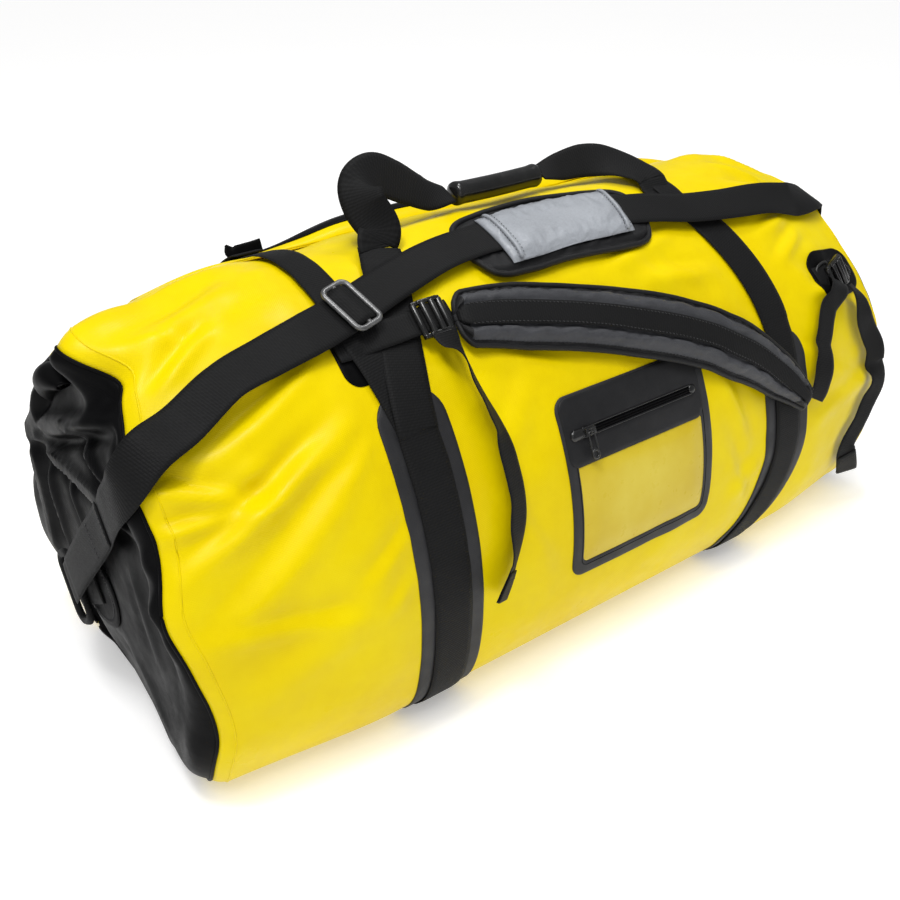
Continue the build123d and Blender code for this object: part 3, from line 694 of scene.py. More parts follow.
# ------------------------------------------------------------------ end panels
# folds in the end panels, the left one first: from (y, z) to (y, z), half width, height
END_FOLDS = {
    -1: (
        ((0.13, 0.245), (-0.08, 0.335), 0.009, 0.014),
        ((0.13, 0.240), (-0.12, 0.255), 0.010, 0.012),
        ((0.12, 0.235), (-0.02, 0.300), 0.006, 0.009),
        ((0.115, 0.300), (0.02, 0.350), 0.006, 0.010),
        ((0.02, 0.300), (-0.07, 0.270), 0.006, 0.007),
        ((0.10, 0.250), (0.05, 0.365), 0.009, 0.009),
        ((0.125, 0.26), (0.105, 0.10), 0.011, 0.011),
        ((0.085, 0.23), (0.070, 0.13), 0.007, 0.007),
        ((0.060, 0.26), (0.010, 0.17), 0.008, 0.004),
        ((-0.03, 0.115), (-0.12, 0.040), 0.012, 0.0035),
        ((0.06, 0.06), (-0.06, 0.030), 0.014, 0.0030),
        ((-0.09, 0.22), (-0.12, 0.12), 0.010, 0.0030),
    ),
    1: (
        ((-0.11, 0.28), (0.06, 0.33), 0.012, 0.006),
        ((0.12, 0.24), (-0.02, 0.30), 0.010, 0.005),
        ((-0.13, 0.16), (-0.09, 0.05), 0.013, 0.004),
        ((0.13, 0.20), (0.10, 0.06), 0.012, 0.004),
    ),
}


def end_dent(y, z, side):
    """Outward height of the folds in an end panel."""
    F = 0.0025 * np.sin(y * 31 + 0.7) * np.sin(z * 23 + 0.4)
    for p, q, w, h in END_FOLDS[side]:
        F = F + h * crease(y, z, p, q, w)
    if side < 0:
        F = F - 0.012 * np.exp(-(((y - 0.02) / 0.07) ** 2 + ((z - 0.325) / 0.035) ** 2))
        F = F - 0.010 * np.exp(-(((y - 0.155) / 0.03) ** 2 + ((z - 0.20) / 0.06) ** 2))
    calm = np.exp(-(((y - 0.012) / 0.062) ** 4 + ((z - 0.134) / 0.052) ** 4))
    return np.minimum(F * (1 - calm), 0.006) - 0.0008


def end_where(side):
    """Maps (y, z, lift) to the bulging end panel."""
    def at(y, z, lift=0.0):
        y, z = np.broadcast_arrays(np.asarray(y, float), np.asarray(z, float))
        q = np.stack([np.full_like(y, side * (0.4452 + lift)), y, z], axis=-1)
        n = np.zeros_like(q)
        n[..., 0] = side
        return q, n
    return at


def end_cap(side, end):
    k = 0 if side < 0 else -1
    rim = P[k] - NRM[k] * 0.0006
    low = np.linspace(rim[-1], rim[0], 42)[1:-1]
    low[:, 2] += (0.0012 - low[:, 2]) * smooth((0.1165 - np.abs(low[:, 1])) / 0.006)
    low[:, 0] -= side * 0.0030 * smooth((0.115 - np.abs(low[:, 1])) / 0.02)
    if side < 0:
        low[:, 0] += tuck(low[:, 1])
    ring = np.concatenate([rim, low])
    mid = np.array([side * 0.42, 0.0, 0.175])
    ts = np.concatenate([np.linspace(0, 0.30, 30), np.linspace(0.32, 1.0, 34)])
    Q = []
    for t in ts:
        u = min(t / 0.26, 1.0)
        dome = 0.0255 * (1 - (1 - u) ** 3.2)
        q = ring * (1 - t) + mid * t
        q[:, 0] = ring[:, 0] * (1 - smooth(t / 0.2)) + side * 0.42 * smooth(t / 0.2)
        y, z = q[:, 1], q[:, 2]
        fade = smooth(t / 0.06)
        q[:, 0] += side * (dome + end_dent(y, z, side) * fade)
        if side < 0:
            own = np.maximum(ring[:, 0] + 0.42, 0) * (z < 0.05) * (1 - smooth(t / 0.2))
            draw = 0.022 * smooth((0.115 - z) / 0.10) * smooth((y + 0.11) / 0.13) * smooth(t / 0.03)
            q[:, 0] += np.maximum(draw - own, 0)
        gather = 0.0022 * np.sin(np.arange(len(q)) * 0.55) * np.exp(-((t - 0.05) / 0.05) ** 2)
        q[:, 0] += side * gather * smooth((z - 0.16) / 0.06)
        Q.append(q)
    Q = np.array(Q)
    m = len(ring)
    inner = Q.copy()
    inner[..., 0] -= side * 0.0016
    verts = np.concatenate([Q.reshape(-1, 3), inner.reshape(-1, 3)])
    n = len(ts) * m
    faces = grid_faces(len(ts), m, 0, True) + [tuple(reversed(f)) for f in grid_faces(len(ts), m, n, True)]
    faces += [(j, (j + 1) % m, n + (j + 1) % m, n + j) for j in range(m)]
    make("end_sheet_" + end, verts, faces, BLACK, verts[:, 1:3], node="end_panel_" + end)
    # raised weld along the rim
    tube("end_weld_" + end, ring[:len(rim)] + np.array([side * 0.0006, 0, 0]), 0.0016, BLACK, 8)


for end, sx in ENDS:
    end_cap(sx, end)

# the loose corner of the left end panel curls over in a U
tw = np.linspace(-1, 1, 25)
cv = np.linspace(0, 1, 23)
flap = []
for w in tw:
    row = []
    for c in cv:
        a = math.radians(-50 + 250 * c)
        r = 0.0105 + 0.002 * math.cos(w * 2.1)
        x = -0.4400 - r * math.sin(a) + 0.004 * w * w
        z = 0.3215 + r * math.cos(a) * 0.9 + 0.004 * math.cos(2.6 * w) - 0.020 * w * c
        y = 0.040 + w * (0.034 - 0.008 * c) + 0.003 * math.sin(3 * c)
        row.append((x, y, z))
    flap.append(row)
flap = np.array(flap)
fn = unit(np.cross(np.gradient(flap, axis=0), np.gradient(flap, axis=1)))
shell("end_flap", flap, fn, 0.0014, flap[..., 1:], BLACK, 0.3)


# ------------------------------------------------------------------ plates on the bag
def inside(loop, p):
    x, y = p[:, 0][:, None], p[:, 1][:, None]
    x0, y0 = loop[:, 0][None], loop[:, 1][None]
    x1, y1 = np.roll(x0, -1), np.roll(y0, -1)
    dy = np.where(np.abs(y1 - y0) < 1e-12, 1e-12, y1 - y0)
    hit = ((y0 > y) != (y1 > y)) & (x < (x1 - x0) * (y - y0) / dy + x0)
    return hit.sum(1) % 2 == 1


def covered(loops, p):
    """Which points lie inside the first loop and outside the others."""
    keep = inside(loops[0], p)
    for h in loops[1:]:
        keep &= ~inside(h, p)
    return keep


def near(loops, p):
    """Distance from each point to the nearest loop."""
    d = np.full(len(p), 9.0)
    for loop in loops:
        for a, b in zip(loop, np.roll(loop, -1, 0)):
            e = b - a
            t = np.clip(((p - a) @ e) / max(e @ e, 1e-12), 0, 1)
            d = np.minimum(d, np.linalg.norm(p - a - t[:, None] * e, axis=1))
    return d


def plate(name, loops, lift, thick, mat, where=surf, cell=0.005, soft=0.0012, puffed=0.0, **kw):
    """Flat piece inside the first loop and outside the others, laid on a surface; its rim is rounded."""
    loops = [np.asarray(q, float) for q in loops]
    lo, hi = loops[0].min(0), loops[0].max(0)
    gx, gy = np.meshgrid(np.arange(lo[0], hi[0], cell), np.arange(lo[1], hi[1], cell))
    g = np.stack([gx.ravel(), gy.ravel()], 1)
    g = g[covered(loops, g)]
    g = g[near(loops, g) > cell * 0.45]
    # one inner row, so that the rim rounds over
    extra = []
    for q in loops:
        tg = np.roll(q, -1, 0) - np.roll(q, 1, 0)
        nn = unit(np.stack([-tg[:, 1], tg[:, 0]], 1))
        for sgn in (1, -1):
            r = q + nn * sgn * soft
            extra.append(r[covered(loops, r)])
    edges, k = [], 0
    for q in loops:
        edges += [(k + i, k + (i + 1) % len(q)) for i in range(len(q))]
        k += len(q)
    points = [Vector(p) for p in np.concatenate(loops + extra + [g])]
    V, _, F, *_ = delaunay_2d_cdt(points, edges, [], 0, 1e-6)
    V = np.array([tuple(v) for v in V])
    F = [tuple(f) for f in F]
    F = [f for f, ok in zip(F, covered(loops, np.array([V[list(f)].mean(0) for f in F]))) if ok]
    d = near(loops, V)
    top = thick * (0.35 + 0.65 * np.clip(d / soft, 0, 1) ** 0.5) + puffed * smooth(d / 0.02)
    Q, N = where(V[:, 0], V[:, 1], lift)
    n = len(V)
    sides = dict.fromkeys(e for f in F for e in zip(f, f[1:] + f[:1]))
    walls = [(a, b, b + n, a + n) for a, b in sides if (b, a) not in sides]
    faces = F + [tuple(i + n for i in reversed(f)) for f in F] + walls
    return make(name, np.concatenate([Q + N * top[:, None], Q]), faces, mat,
                np.concatenate([V[:, ::-1]] * 2), **kw)


def round_rect(x0, x1, y0, y1, r, step=0.004, corners=(1, 1, 1, 1)):
    """Loop of a rectangle with rounded corners, in order from the lower left."""
    out = []
    centres = ((x0 + r, y0 + r, 180), (x1 - r, y0 + r, 270), (x1 - r, y1 - r, 0), (x0 + r, y1 - r, 90))
    for (cx, cy, a0), on in zip(centres, corners):
        if on:
            for k in range(9):
                a = math.radians(a0 + 90 * k / 8)
                out.append((cx + r * math.cos(a), cy + r * math.sin(a)))
        else:
            a = math.radians(a0 + 45)
            out.append((cx + r * math.copysign(1, math.cos(a)), cy + r * math.copysign(1, math.sin(a))))
    full = []
    for p, q in zip(out, out[1:] + out[:1]):
        L = math.dist(p, q)
        m = max(int(L / step), 1)
        full += [(p[0] + (q[0] - p[0]) * i / m, p[1] + (q[1] - p[1]) * i / m) for i in range(m)]
    return np.array(full)


def oval(cx, cy, rx, ry, n=64):
    t = np.linspace(0, 2 * math.pi, n, endpoint=False)
    return np.stack([cx + rx * np.cos(t), cy + ry * np.sin(t)], 1)


def sz(z, side=-1, x=0.0):
    """Arc length at height z."""
    return float(s_of(a_side(z, side, x)))


def sy(y, x=0.0):
    """Arc length on the top at y."""
    return float(s_of(a_top(y, x)))


# ------------------------------------------------------------------ girths
GIRTH = {"left": -0.214, "right": 0.240}
TOPZ = {("front", "left"): 0.318, ("front", "right"): 0.262, ("back", "left"): 0.215,
        ("back", "right"): 0.215}


def lean(x, z):
    """The lower front of the bag is drawn in towards the middle at its right end."""
    t = np.clip((0.150 - z) / 0.110, 0, 1)
    return x - 0.045 * t * t * np.clip(x / 0.23, 0, 1)


def z_of(s):
    a = np.interp(s, arc, fine)
    return skin(0.0, a)[1]


def leaned(loop):
    """Moves the points of a front loop of (x, arc length) with lean."""
    loop = np.asarray(loop, float).copy()
    front = loop[:, 1] < ST
    loop[:, 0] = np.where(front, lean(loop[:, 0], z_of(loop[:, 1])), loop[:, 0])
    return loop


for (side, end), z in TOPZ.items():
    sg = dict(SIDES)[side]
    s0, s1 = sorted((sz(0.004, sg), sz(z, sg)))
    up = (0, 0, 1, 1) if sg < 0 else (1, 1, 0, 0)
    x = GIRTH[end]
    loop = round_rect(x - 0.034, x + 0.034, s0, s1, 0.030, corners=up)
    plate(f"girth_{side}_{end}", [leaned(loop) if sg < 0 else loop], 0.0002, 0.0013, GREY,
          node=f"girth_strip_{side}_{end}")


def webway(name, way, width, thick=0.0017, to=None, **kw):
    """Webbing along waypoints on the bag; to is a last point and normal off it."""
    C, N = on_bag(way, 6)
    if to is not None:
        # the last stretch leaves the bag and meets the foot of the handle
        k = np.linspace(0, 1, 8)[1:, None]
        end, en = np.array(to[:3]), unit(np.array(to[3:], float))
        C = np.concatenate([C, C[-1] * (1 - k) + end * k])
        N = np.concatenate([N, unit(N[-1] * (1 - k) + en * k)])
    tape(name, C, N, width, thick, WEB, **kw)
    return C, N


def edge_name(sgn):
    return "a" if sgn > 0 else "b"


def climb(x, z0, z1, sg, n, lift=0.0028):
    a0, a1 = float(a_side(z0, sg)), float(a_side(z1, sg))
    out = []
    for i in range(n):
        a = a0 + (a1 - a0) * i / (n - 1)
        out.append((float(lean(x, skin(0.0, a)[1])) if sg < 0 else x, a, lift))
    return out


def slant(x0, x1, a0, a1, n, lift=0.0028):
    return [(x0 + (x1 - x0) * (i / (n - 1)) ** 1.3, a0 + (a1 - a0) * i / (n - 1), lift) for i in range(n)]


way = climb(-0.214, 0.006, 0.285, -1, 22)
way += slant(-0.214, -0.162, float(a_side(0.290)), a_top(-0.038), 10, 0.0044)
webway("web_front_left", way, STRAP_W, to=(-0.158, -0.029, 0.396, 0, -0.5, 1),
       node="handle_webbing_front_left")
way = climb(0.240, 0.006, 0.270, -1, 22)
way += slant(0.240, 0.188, float(a_side(0.275)), a_top(-0.038), 11)
webway("web_front_right", way, STRAP_W, to=(0.188, -0.029, 0.3965, 0, -0.5, 1),
       node="handle_webbing_front_right")
for end, x in GIRTH.items():
    C, N = webway("web_back_" + end, climb(x, 0.006, 0.166, 1, 15), STRAP_W,
                  node="handle_webbing_back_" + end)
    _, N, B = frames(C, N)
    for sgn in (1, -1):
        stitches(f"web_back_{end}_stitch_{edge_name(sgn)}",
                 C + B * sgn * (STRAP_W / 2 - 0.0035) + N * (0.0017 / 2), N)


def sewn(name, C, N, width, at, thick, **kw):
    """Box of stitches with a cross in it, where a webbing is sewn down."""
    _, N, B = frames(C, N)
    k0, k1 = at
    ks = range(k0, k1 + 1)
    w = width / 2 - 0.004

    def q(k, v):
        return C[k] + B[k] * v * w + N[k] * (thick / 2 + 0.0002)
    rows = [[q(k, v) for k in ks] for v in (1, -1)]
    rows += [[q(k, v) for v in np.linspace(-1, 1, 9)] for k in at]
    rows += [[q(k, v * (2 * (k - k0) / (k1 - k0) - 1)) for k in ks] for v in (1, -1)]
    for r, row in enumerate(rows):
        stitches(f"{name}_{r}", row, np.tile(N[(k0 + k1) // 2], (len(row), 1)), **kw)


COMP_X = (("left", -0.232), ("right", 0.197))
for end, x in COMP_X:
    left = end == "left"
    a0, a1 = (float(a_side(0.290)) if left else a_top(-0.078)), a_top(0.064)
    way = []
    for i in range(15):
        out = 0.014 * max(1 - i / 4, 0) if left else 0
        way.append((x + out, a0 + (a1 - a0) * i / 14, 0.0014 + 0.0036 * min(i / 4, 1) if left else 0.0046))
    webway("comp_front_" + end, way, COMP_W, 0.0015, node="compression_strap_front_" + end)
    a0, a1 = a_top(0.163), float(a_side(0.190, 1))
    way = [(x, a0 + (a1 - a0) * i / 8, 0.0050) for i in range(9)]
    C, N = webway("comp_back_" + end, way, COMP_W, 0.0015, node="compression_strap_back_" + end)
    sewn("comp_back_box_" + end, C, N, COMP_W, (32, 46), 0.0015)


# ------------------------------------------------------------------ roll closure
def hump(t, x=0.0):
    """Height of the roll at t across it; it flattens towards its ends."""
    u = np.clip((np.abs(x) - 0.22) / 0.125, 0, 1)
    u = np.where(np.asarray(x) < 0, 1.38 * smooth((-0.09 - np.asarray(x)) / 0.155), u)
    return 0.004 + 0.024 * (1 - 0.62 * u) * (1 - np.abs(2 * t - 1) ** 2.6) ** 0.6


RA0, RA1 = a_top(0.072), a_top(0.154)


def roll_at(x, t, lift):
    x, t = np.broadcast_arrays(np.asarray(x, float), np.asarray(t, float))
    a = RA0 + (RA1 - RA0) * t
    y, z = skin(x, a)
    y2, z2 = skin(x, a + 0.05)
    n = unit(np.stack([np.zeros_like(y), z - z2, y2 - y], axis=-1))
    n = np.where(n[..., 2:3] < 0, -n, n)
    return np.stack([x, y, z], axis=-1) + n * np.asarray(lift)[..., None], n


ROLL_X = 0.345
RX, RT = np.meshgrid(np.linspace(-ROLL_X, ROLL_X, 139), np.linspace(0, 1, 33), indexing="ij")
wob = 0.0013 * np.sin(RX * 61 + RT * 4) * np.sin(RX * 23 + 1.3)
wob -= 0.002 * np.exp(-((np.abs(RX) - ROLL_X) / 0.03) ** 2)
slim = (hump(0.5, RX) - 0.004) / 0.024
roll_uv = np.stack([RX, RT * 0.09], axis=2)
verts, faces, uvs = [], [], []
# the layers of the roll, the outermost first: how far each is below it and short of its ends
for k, (shrink, inset) in enumerate(((0.0, 0.0), (0.0045, 0.003), (0.0090, 0.005), (0.0135, 0.006))):
    tt = 0.5 + (RT - 0.5) * (1 - 0.20 * k)
    lift = np.maximum(hump(RT, RX) - shrink * slim + wob * slim - 0.0016, 0.0022)
    Q, N = roll_at(RX * (1 - inset / ROLL_X), tt, lift)
    faces += slab_faces(*RX.shape, len(verts))
    verts += list((Q + N * 0.0016).reshape(-1, 3)) + list(Q.reshape(-1, 3))
    uvs += list(roll_uv.reshape(-1, 2)) * 2
make("closure_roll", verts, faces, YELLOW, uvs, body="closure", node="roll_closure")
Q, N = roll_at(RX, RT, np.full_like(RX, 0.0012))
shell("closure_under", Q, N, 0.0014, roll_uv, YELLOW, body="closure")

SX, ST2 = np.meshgrid(np.linspace(-0.216, 0.216, 105), np.linspace(0.08, 0.44, 11), indexing="ij")
Q, N = roll_at(SX, ST2, hump(ST2, SX) + 0.0004 + 0.0006 * np.sin(SX * 40))
shell("closure_stiffener", Q, N, 0.0018, np.stack([SX, ST2 * 0.09], axis=2), BLACK, 0.4, body="closure",
      node="roll_stiffener")
for end, x in COMP_X:
    t = np.linspace(0.0, 1.0, 41)
    C, N = roll_at(np.full_like(t, x), t, hump(t, np.full_like(t, x)) + 0.0034)
    tape("closure_strap_web_" + end, C, N, COMP_W, 0.0015, WEB, body="closure", node="closure_strap_" + end)
# pointed tab at the left end of the stiffener
TIP = ((-0.205, 0.0030), (-0.222, 0.0045), (-0.236, 0.0085), (-0.240, 0.0170))
C = catmull([roll_at(x, 0.24, hump(0.24, x) + h)[0] for x, h in TIP], 6)
W = np.interp(np.linspace(0, 1, len(C)), [0, 0.35, 0.8, 1], [0.020, 0.019, 0.012, 0.002])
tape("closure_tip", C, np.tile([0.2, -1.0, 0.35], (len(C), 1)), W, 0.0018, BLACK, body="closure")


# ------------------------------------------------------------------ front pocket
px0, px1, pz0, pz1 = -0.075, 0.115, 0.105, 0.275
ps0, ps1 = sz(pz0), sz(pz1)
ws0, ws1 = sz(0.120), sz(0.222)
wx0, wx1 = -0.062, 0.101
plate("pocket_frame", [leaned(round_rect(px0, px1, ps0, ps1, 0.014)),
                       leaned(round_rect(wx0, wx1, ws0, ws1 - 0.004, 0.006))], 0.0003, 0.0014, GREY,
      node="pocket_panel")
zs = sz(0.242)
slot_loop = round_rect(-0.052, 0.094, zs - 0.003, zs + 0.003, 0.0028)
plate("pocket_band", [round_rect(px0 + 0.003, px1 - 0.009, ws1 - 0.008, ps1 - 0.002, 0.012), slot_loop],
      0.0015, 0.0012, BAND)
plate("pocket_film", [leaned(round_rect(wx0 - 0.002, wx1 + 0.002, ws0 - 0.002, ws1 - 0.002, 0.006))],
      0.0002, 0.0008, FILM, puffed=0.0018, node="pocket_window")
# heat-welded border line inside the frame
weld = 0.0105
loop = leaned(round_rect(px0 + weld, px1 - weld, ps0 + weld, ps1 - weld, 0.008, 0.003))
C, N = surf(loop[:, 0], loop[:, 1], 0.0017)
tube("pocket_weld_0", C, 0.0004, BLACK, 6, closed=True)
# zip: tape in the slot, coil line and a raised racetrack border
plate("zip_tape_strip", [round_rect(-0.054, 0.096, zs - 0.008, zs + 0.008, 0.007)], 0.0011, 0.0010, BLACK,
      node="zip_tape", slot="zip_tape")
loop = round_rect(-0.053, 0.095, zs - 0.0042, zs + 0.0042, 0.0040, 0.002)
C, N = surf(loop[:, 0], loop[:, 1], 0.0030)
tube("zip_border", C, 0.0007, GLOSSY, 8, closed=True, slot="zip_tape")
coil = 0.0009 + 0.00025 * np.cos(np.arange(120) * math.pi)
for sgn in (1, -1):
    C, N = surf(np.linspace(-0.050, 0.093, 120), zs + sgn * 0.0011, 0.0026)
    tube("zip_coil_" + edge_name(sgn), C, coil, BLACK, 6, slot="zip_tape")
loop = round_rect(-0.066, -0.049, zs - 0.0052, zs + 0.0052, 0.005, 0.002)
plate("zip_garage", [loop], 0.0024, 0.0030, GLOSSY, soft=0.0035, cell=0.0015)
loop = round_rect(0.090, 0.099, zs - 0.0045, zs + 0.0045, 0.0042, 0.002)
plate("zip_stop", [loop], 0.0024, 0.0018, GLOSSY, soft=0.003, cell=0.0015)


def seat(x, s, lift=0.0, spin=0.0):
    """Frame on the bag: matrix whose x runs along the bag and z points out."""
    q, n = surf(np.array(x), np.array(s), lift)
    n = Vector([float(v) for v in n])
    ex = Vector((1, 0, 0))
    ex = (ex - n * ex.dot(n)).normalized()
    ey = n.cross(ex)
    m = Matrix((ex, ey, n)).transposed().to_4x4()
    m.translation = Vector([float(v) for v in q])
    return m @ Matrix.Rotation(math.radians(spin), 4, "Z")


def solid(name, parts, mat, where, bevel=0.0006, **kw):
    """Bevelled hard piece from boxes (centre, size) and rods (from, to, radius), placed by a matrix."""
    verts, faces = [], []
    for p in parts:
        bm = bmesh.new()
        if p[0] == "box":
            bmesh.ops.create_cube(bm, size=1.0)
            bmesh.ops.scale(bm, vec=Vector(p[2]), verts=bm.verts)
            bmesh.ops.bevel(bm, geom=list(bm.edges), offset=min(bevel, min(p[2]) * 0.45), segments=3,
                            profile=0.5,
                            affect="EDGES")
            bmesh.ops.translate(bm, vec=Vector(p[1]), verts=bm.verts)
        else:
            a, b, r = Vector(p[1]), Vector(p[2]), p[3]
            bmesh.ops.create_cone(bm, cap_ends=True, segments=20, radius1=r, radius2=r, depth=(b - a).length)
            rot = (b - a).to_track_quat("Z", "Y").to_matrix().to_4x4()
            bmesh.ops.transform(bm, matrix=Matrix.Translation((a + b) / 2) @ rot, verts=bm.verts)
            ends = [e for e in bm.edges if len(e.link_faces) == 2
                    and any(len(f.verts) > 4 for f in e.link_faces)]
            bmesh.ops.bevel(bm, geom=ends, offset=min(bevel, r * 0.4), segments=2, profile=0.5,
                            affect="EDGES")
        off = len(verts)
        bm.verts.index_update()
        verts += [tuple(where @ v.co) for v in bm.verts]
        faces += [tuple(off + v.index for v in f.verts) for f in bm.faces]
        bm.free()
    return make(name, verts, faces, mat, np.zeros((len(verts), 2)), **kw)


def ring_at(name, m, w, h, corner, r, mat, flat=1.0, n=12, **kw):
    """Closed rod bent to a rounded rectangle in the plane of matrix m."""
    loop = round_rect(-w / 2, w / 2, -h / 2, h / 2, corner, 0.004)
    C = np.array([tuple(m @ Vector((a, b, 0))) for a, b in loop])
    T = unit(np.roll(C, -1, 0) - np.roll(C, 1, 0))
    Nz = np.array(tuple(m.to_3x3() @ Vector((0, 0, 1))))
    B = np.cross(T, Nz)
    th = np.linspace(0, 2 * math.pi, n, endpoint=False)
    V = C[:, None] + r * (np.cos(th)[None, :, None] * B[:, None]
                          + flat * np.sin(th)[None, :, None] * Nz[None, None])
    L = np.arange(len(C)) * 0.004
    uv = np.stack(np.broadcast_arrays(L[:, None], (th * r)[None]), axis=2).reshape(-1, 2)
    return make(name, V.reshape(-1, 3), tube_faces(len(C), n, True), mat, uv, **kw)


m = seat(-0.045, zs, 0.0031)
# body, guide, neck, two lugs and the pin that the pull hangs on
slider = [("box", (0, 0, 0.0008), (0.014, 0.0088, 0.0016)),
          ("box", (0.001, 0, 0.0030), (0.012, 0.0066, 0.0014)),
          ("box", (0.0, 0, 0.0020), (0.004, 0.004, 0.0022)),
          ("box", (0, 0.0026, 0.0040), (0.0052, 0.0013, 0.0018)),
          ("box", (0, -0.0026, 0.0040), (0.0052, 0.0013, 0.0018)),
          ("rod", (-0.0001, -0.0034, 0.0046), (-0.0001, 0.0034, 0.0046), 0.0008)]
solid("zip_slider_body", slider, METAL, m, 0.0004, body="zip_slider", node="zip_slider")
m = seat(-0.045, zs, 0.0069)
drop = m @ Matrix.Translation((0, -0.0125, 0.0002))
ring_at("zip_pull_loop", drop, 0.0072, 0.0250, 0.0034, 0.00095, METAL, n=10, body="zip_pull", node="zip_pull")
ring_at("zip_pull_cord", m @ Matrix.Translation((0, -0.0215, 0.0002)), 0.0066, 0.0075, 0.0030, 0.0014, METAL,
        n=10, body="zip_pull")


# ------------------------------------------------------------------ patches
def radial_stitches(name, cx, cs, rx, ry, lift, n, long, where=surf, **kw):
    """Oval of stitches that point away from its centre."""
    verts, faces, uvs = [], [], []
    for i in range(n):
        t = 2 * math.pi * i / n
        c, s = math.cos(t), math.sin(t)
        a = (cx + rx * c, cs + ry * s)
        b = (cx + (rx + long) * c, cs + (ry + long) * s)
        q, nn = where(np.array([a[0], b[0]]), np.array([a[1], b[1]]), lift)
        d = unit(q[1] - q[0])
        w = np.cross(nn[0], d) * 0.0005
        k = len(verts)
        mid = (q[0] + q[1]) / 2 + nn[0] * 0.0007
        e = (q[1] - q[0]) * 0.25
        verts += [q[0], q[0] + w + e, q[1] + w - e, q[1], q[1] - w - e, q[0] - w + e, mid]
        uvs += [(0, 0)] * 7
        faces += [(k + j, k + (j + 1) % 6, k + 6) for j in range(6)] + [tuple(range(k + 5, k - 1, -1))]
    return make(name, verts, faces, THREAD, uvs, **kw)


ZP = {"front": 0.283, "back": 0.250}
for side, sg in SIDES:
    s0, s1 = (sy(-0.130), sy(-0.088)) if sg < 0 else sorted((sz(0.258, sg), sz(0.218, sg)))
    plate(f"patch_{side}_left", [round_rect(-0.258, -0.186, s0, s1, 0.014)], 0.0003, 0.0012, BLACK,
          node=f"strap_patch_{side}_left")
    z = ZP[side]
    s0, s1 = sorted((sz(z - 0.021, sg, 0.37), sz(z + 0.021, sg, 0.37)))
    plate(f"patch_{side}_right", [round_rect(0.320, 0.400, s0 - 0.002, s1 + 0.002, 0.020)], 0.0003, 0.0015,
          BLACK,
          node=f"strap_patch_{side}_right")
    radial_stitches(f"patch_{side}_right_stitch", 0.360, (s0 + s1) / 2, 0.030, 0.0125, 0.0018, 52, 0.0050)


# ------------------------------------------------------------------ plastic adjusters
def ladder(name, m, node, body="bag"):
    """Ladder lock: two arched rails with three ribs and a lifted front bar."""
    parts = []
    for sgn in (1, -1):
        parts.append(("box", (0, sgn * 0.0152, 0.0030), (0.0300, 0.0040, 0.0058)))
        parts.append(("box", (0.001, sgn * 0.0152, 0.0060), (0.0210, 0.0038, 0.0034)))
    for x, z, r in ((-0.0128, 0.0032, 0.0031), (-0.0050, 0.0062, 0.0029), (0.0040, 0.0066, 0.0029),
                    (0.0126, 0.0038, 0.0034)):
        parts.append(("rod", (x, -0.0150, z), (x, 0.0150, z), r))
    return solid(name, parts, GLOSSY, m, 0.0014, node=node, body=body)


LOCKZ = {"front": 0.350, "back": 0.238}
PADZ = {"front": (0.345, 0.336, 0.316, 0.292, 0.260, 0.222, 0.186),
        "back": (0.238, 0.240, 0.239, 0.233, 0.223, 0.207, 0.183)}
PADX = (-0.140, -0.075, 0.015, 0.095, 0.165, 0.222, 0.262)
PADW = (0.050, 0.062, 0.064, 0.064, 0.062, 0.048, 0.022)
PAD_DROOP = 2.4


STEPS = 20      # frames of the filling


def puff(name, Q, pin, pressure, cap):
    """Lets a pinned sheet fill out under pressure, and returns its shape."""
    ni, nj = Q.shape[:2]
    me = bpy.data.meshes.new(name)
    me.from_pydata([tuple(map(float, v)) for v in Q.reshape(-1, 3)], [], grid_faces(ni, nj))
    ob = bpy.data.objects.new(name, me)
    bpy.context.scene.collection.objects.link(ob)
    vg = ob.vertex_groups.new(name="pin")
    vg.add([int(i) for i in np.nonzero(pin.reshape(-1))[0]], 1.0, "REPLACE")
    mod = ob.modifiers.new("fill", "CLOTH")
    st = mod.settings
    st.quality = 6
    st.mass = 0.15
    st.tension_stiffness = st.compression_stiffness = 12
    st.shear_stiffness = 5
    st.bending_stiffness = 0.25
    st.use_pressure = True
    st.uniform_pressure_force = pressure
    st.vertex_group_mass = "pin"
    st.shrink_min = -0.03      # the cloth is 3 % larger than its shape
    st.effector_weights.gravity = 0
    mod.collision_settings.use_collision = False
    mod.point_cache.frame_start, mod.point_cache.frame_end = 1, STEPS
    sc = bpy.context.scene
    for f in range(1, STEPS + 1):
        sc.frame_set(f)
    got = ob.evaluated_get(bpy.context.evaluated_depsgraph_get())
    R = np.array([tuple(v.co) for v in got.data.vertices]).reshape(Q.shape)
    bpy.data.objects.remove(ob)
    sc.frame_set(1)
    d = R - Q
    L = np.linalg.norm(d, axis=2, keepdims=True)
    return Q + d * np.minimum(1, cap / np.maximum(L, 1e-9))


def eased(C, N, k):
    """Evens out the height and lean of a centre line over the folds under it."""
    w = np.hanning(2 * k + 3)[1:-1]
    w /= w.sum()

    def mean(A):
        return np.stack([np.convolve(np.pad(A[:, i], k, mode="reflect", reflect_type="odd"), w,
                                     "valid") for i in range(3)], 1)
    N2 = unit(mean(N))
    return C + N2 * np.sum((mean(C) - C) * N2, axis=1)[:, None], N2


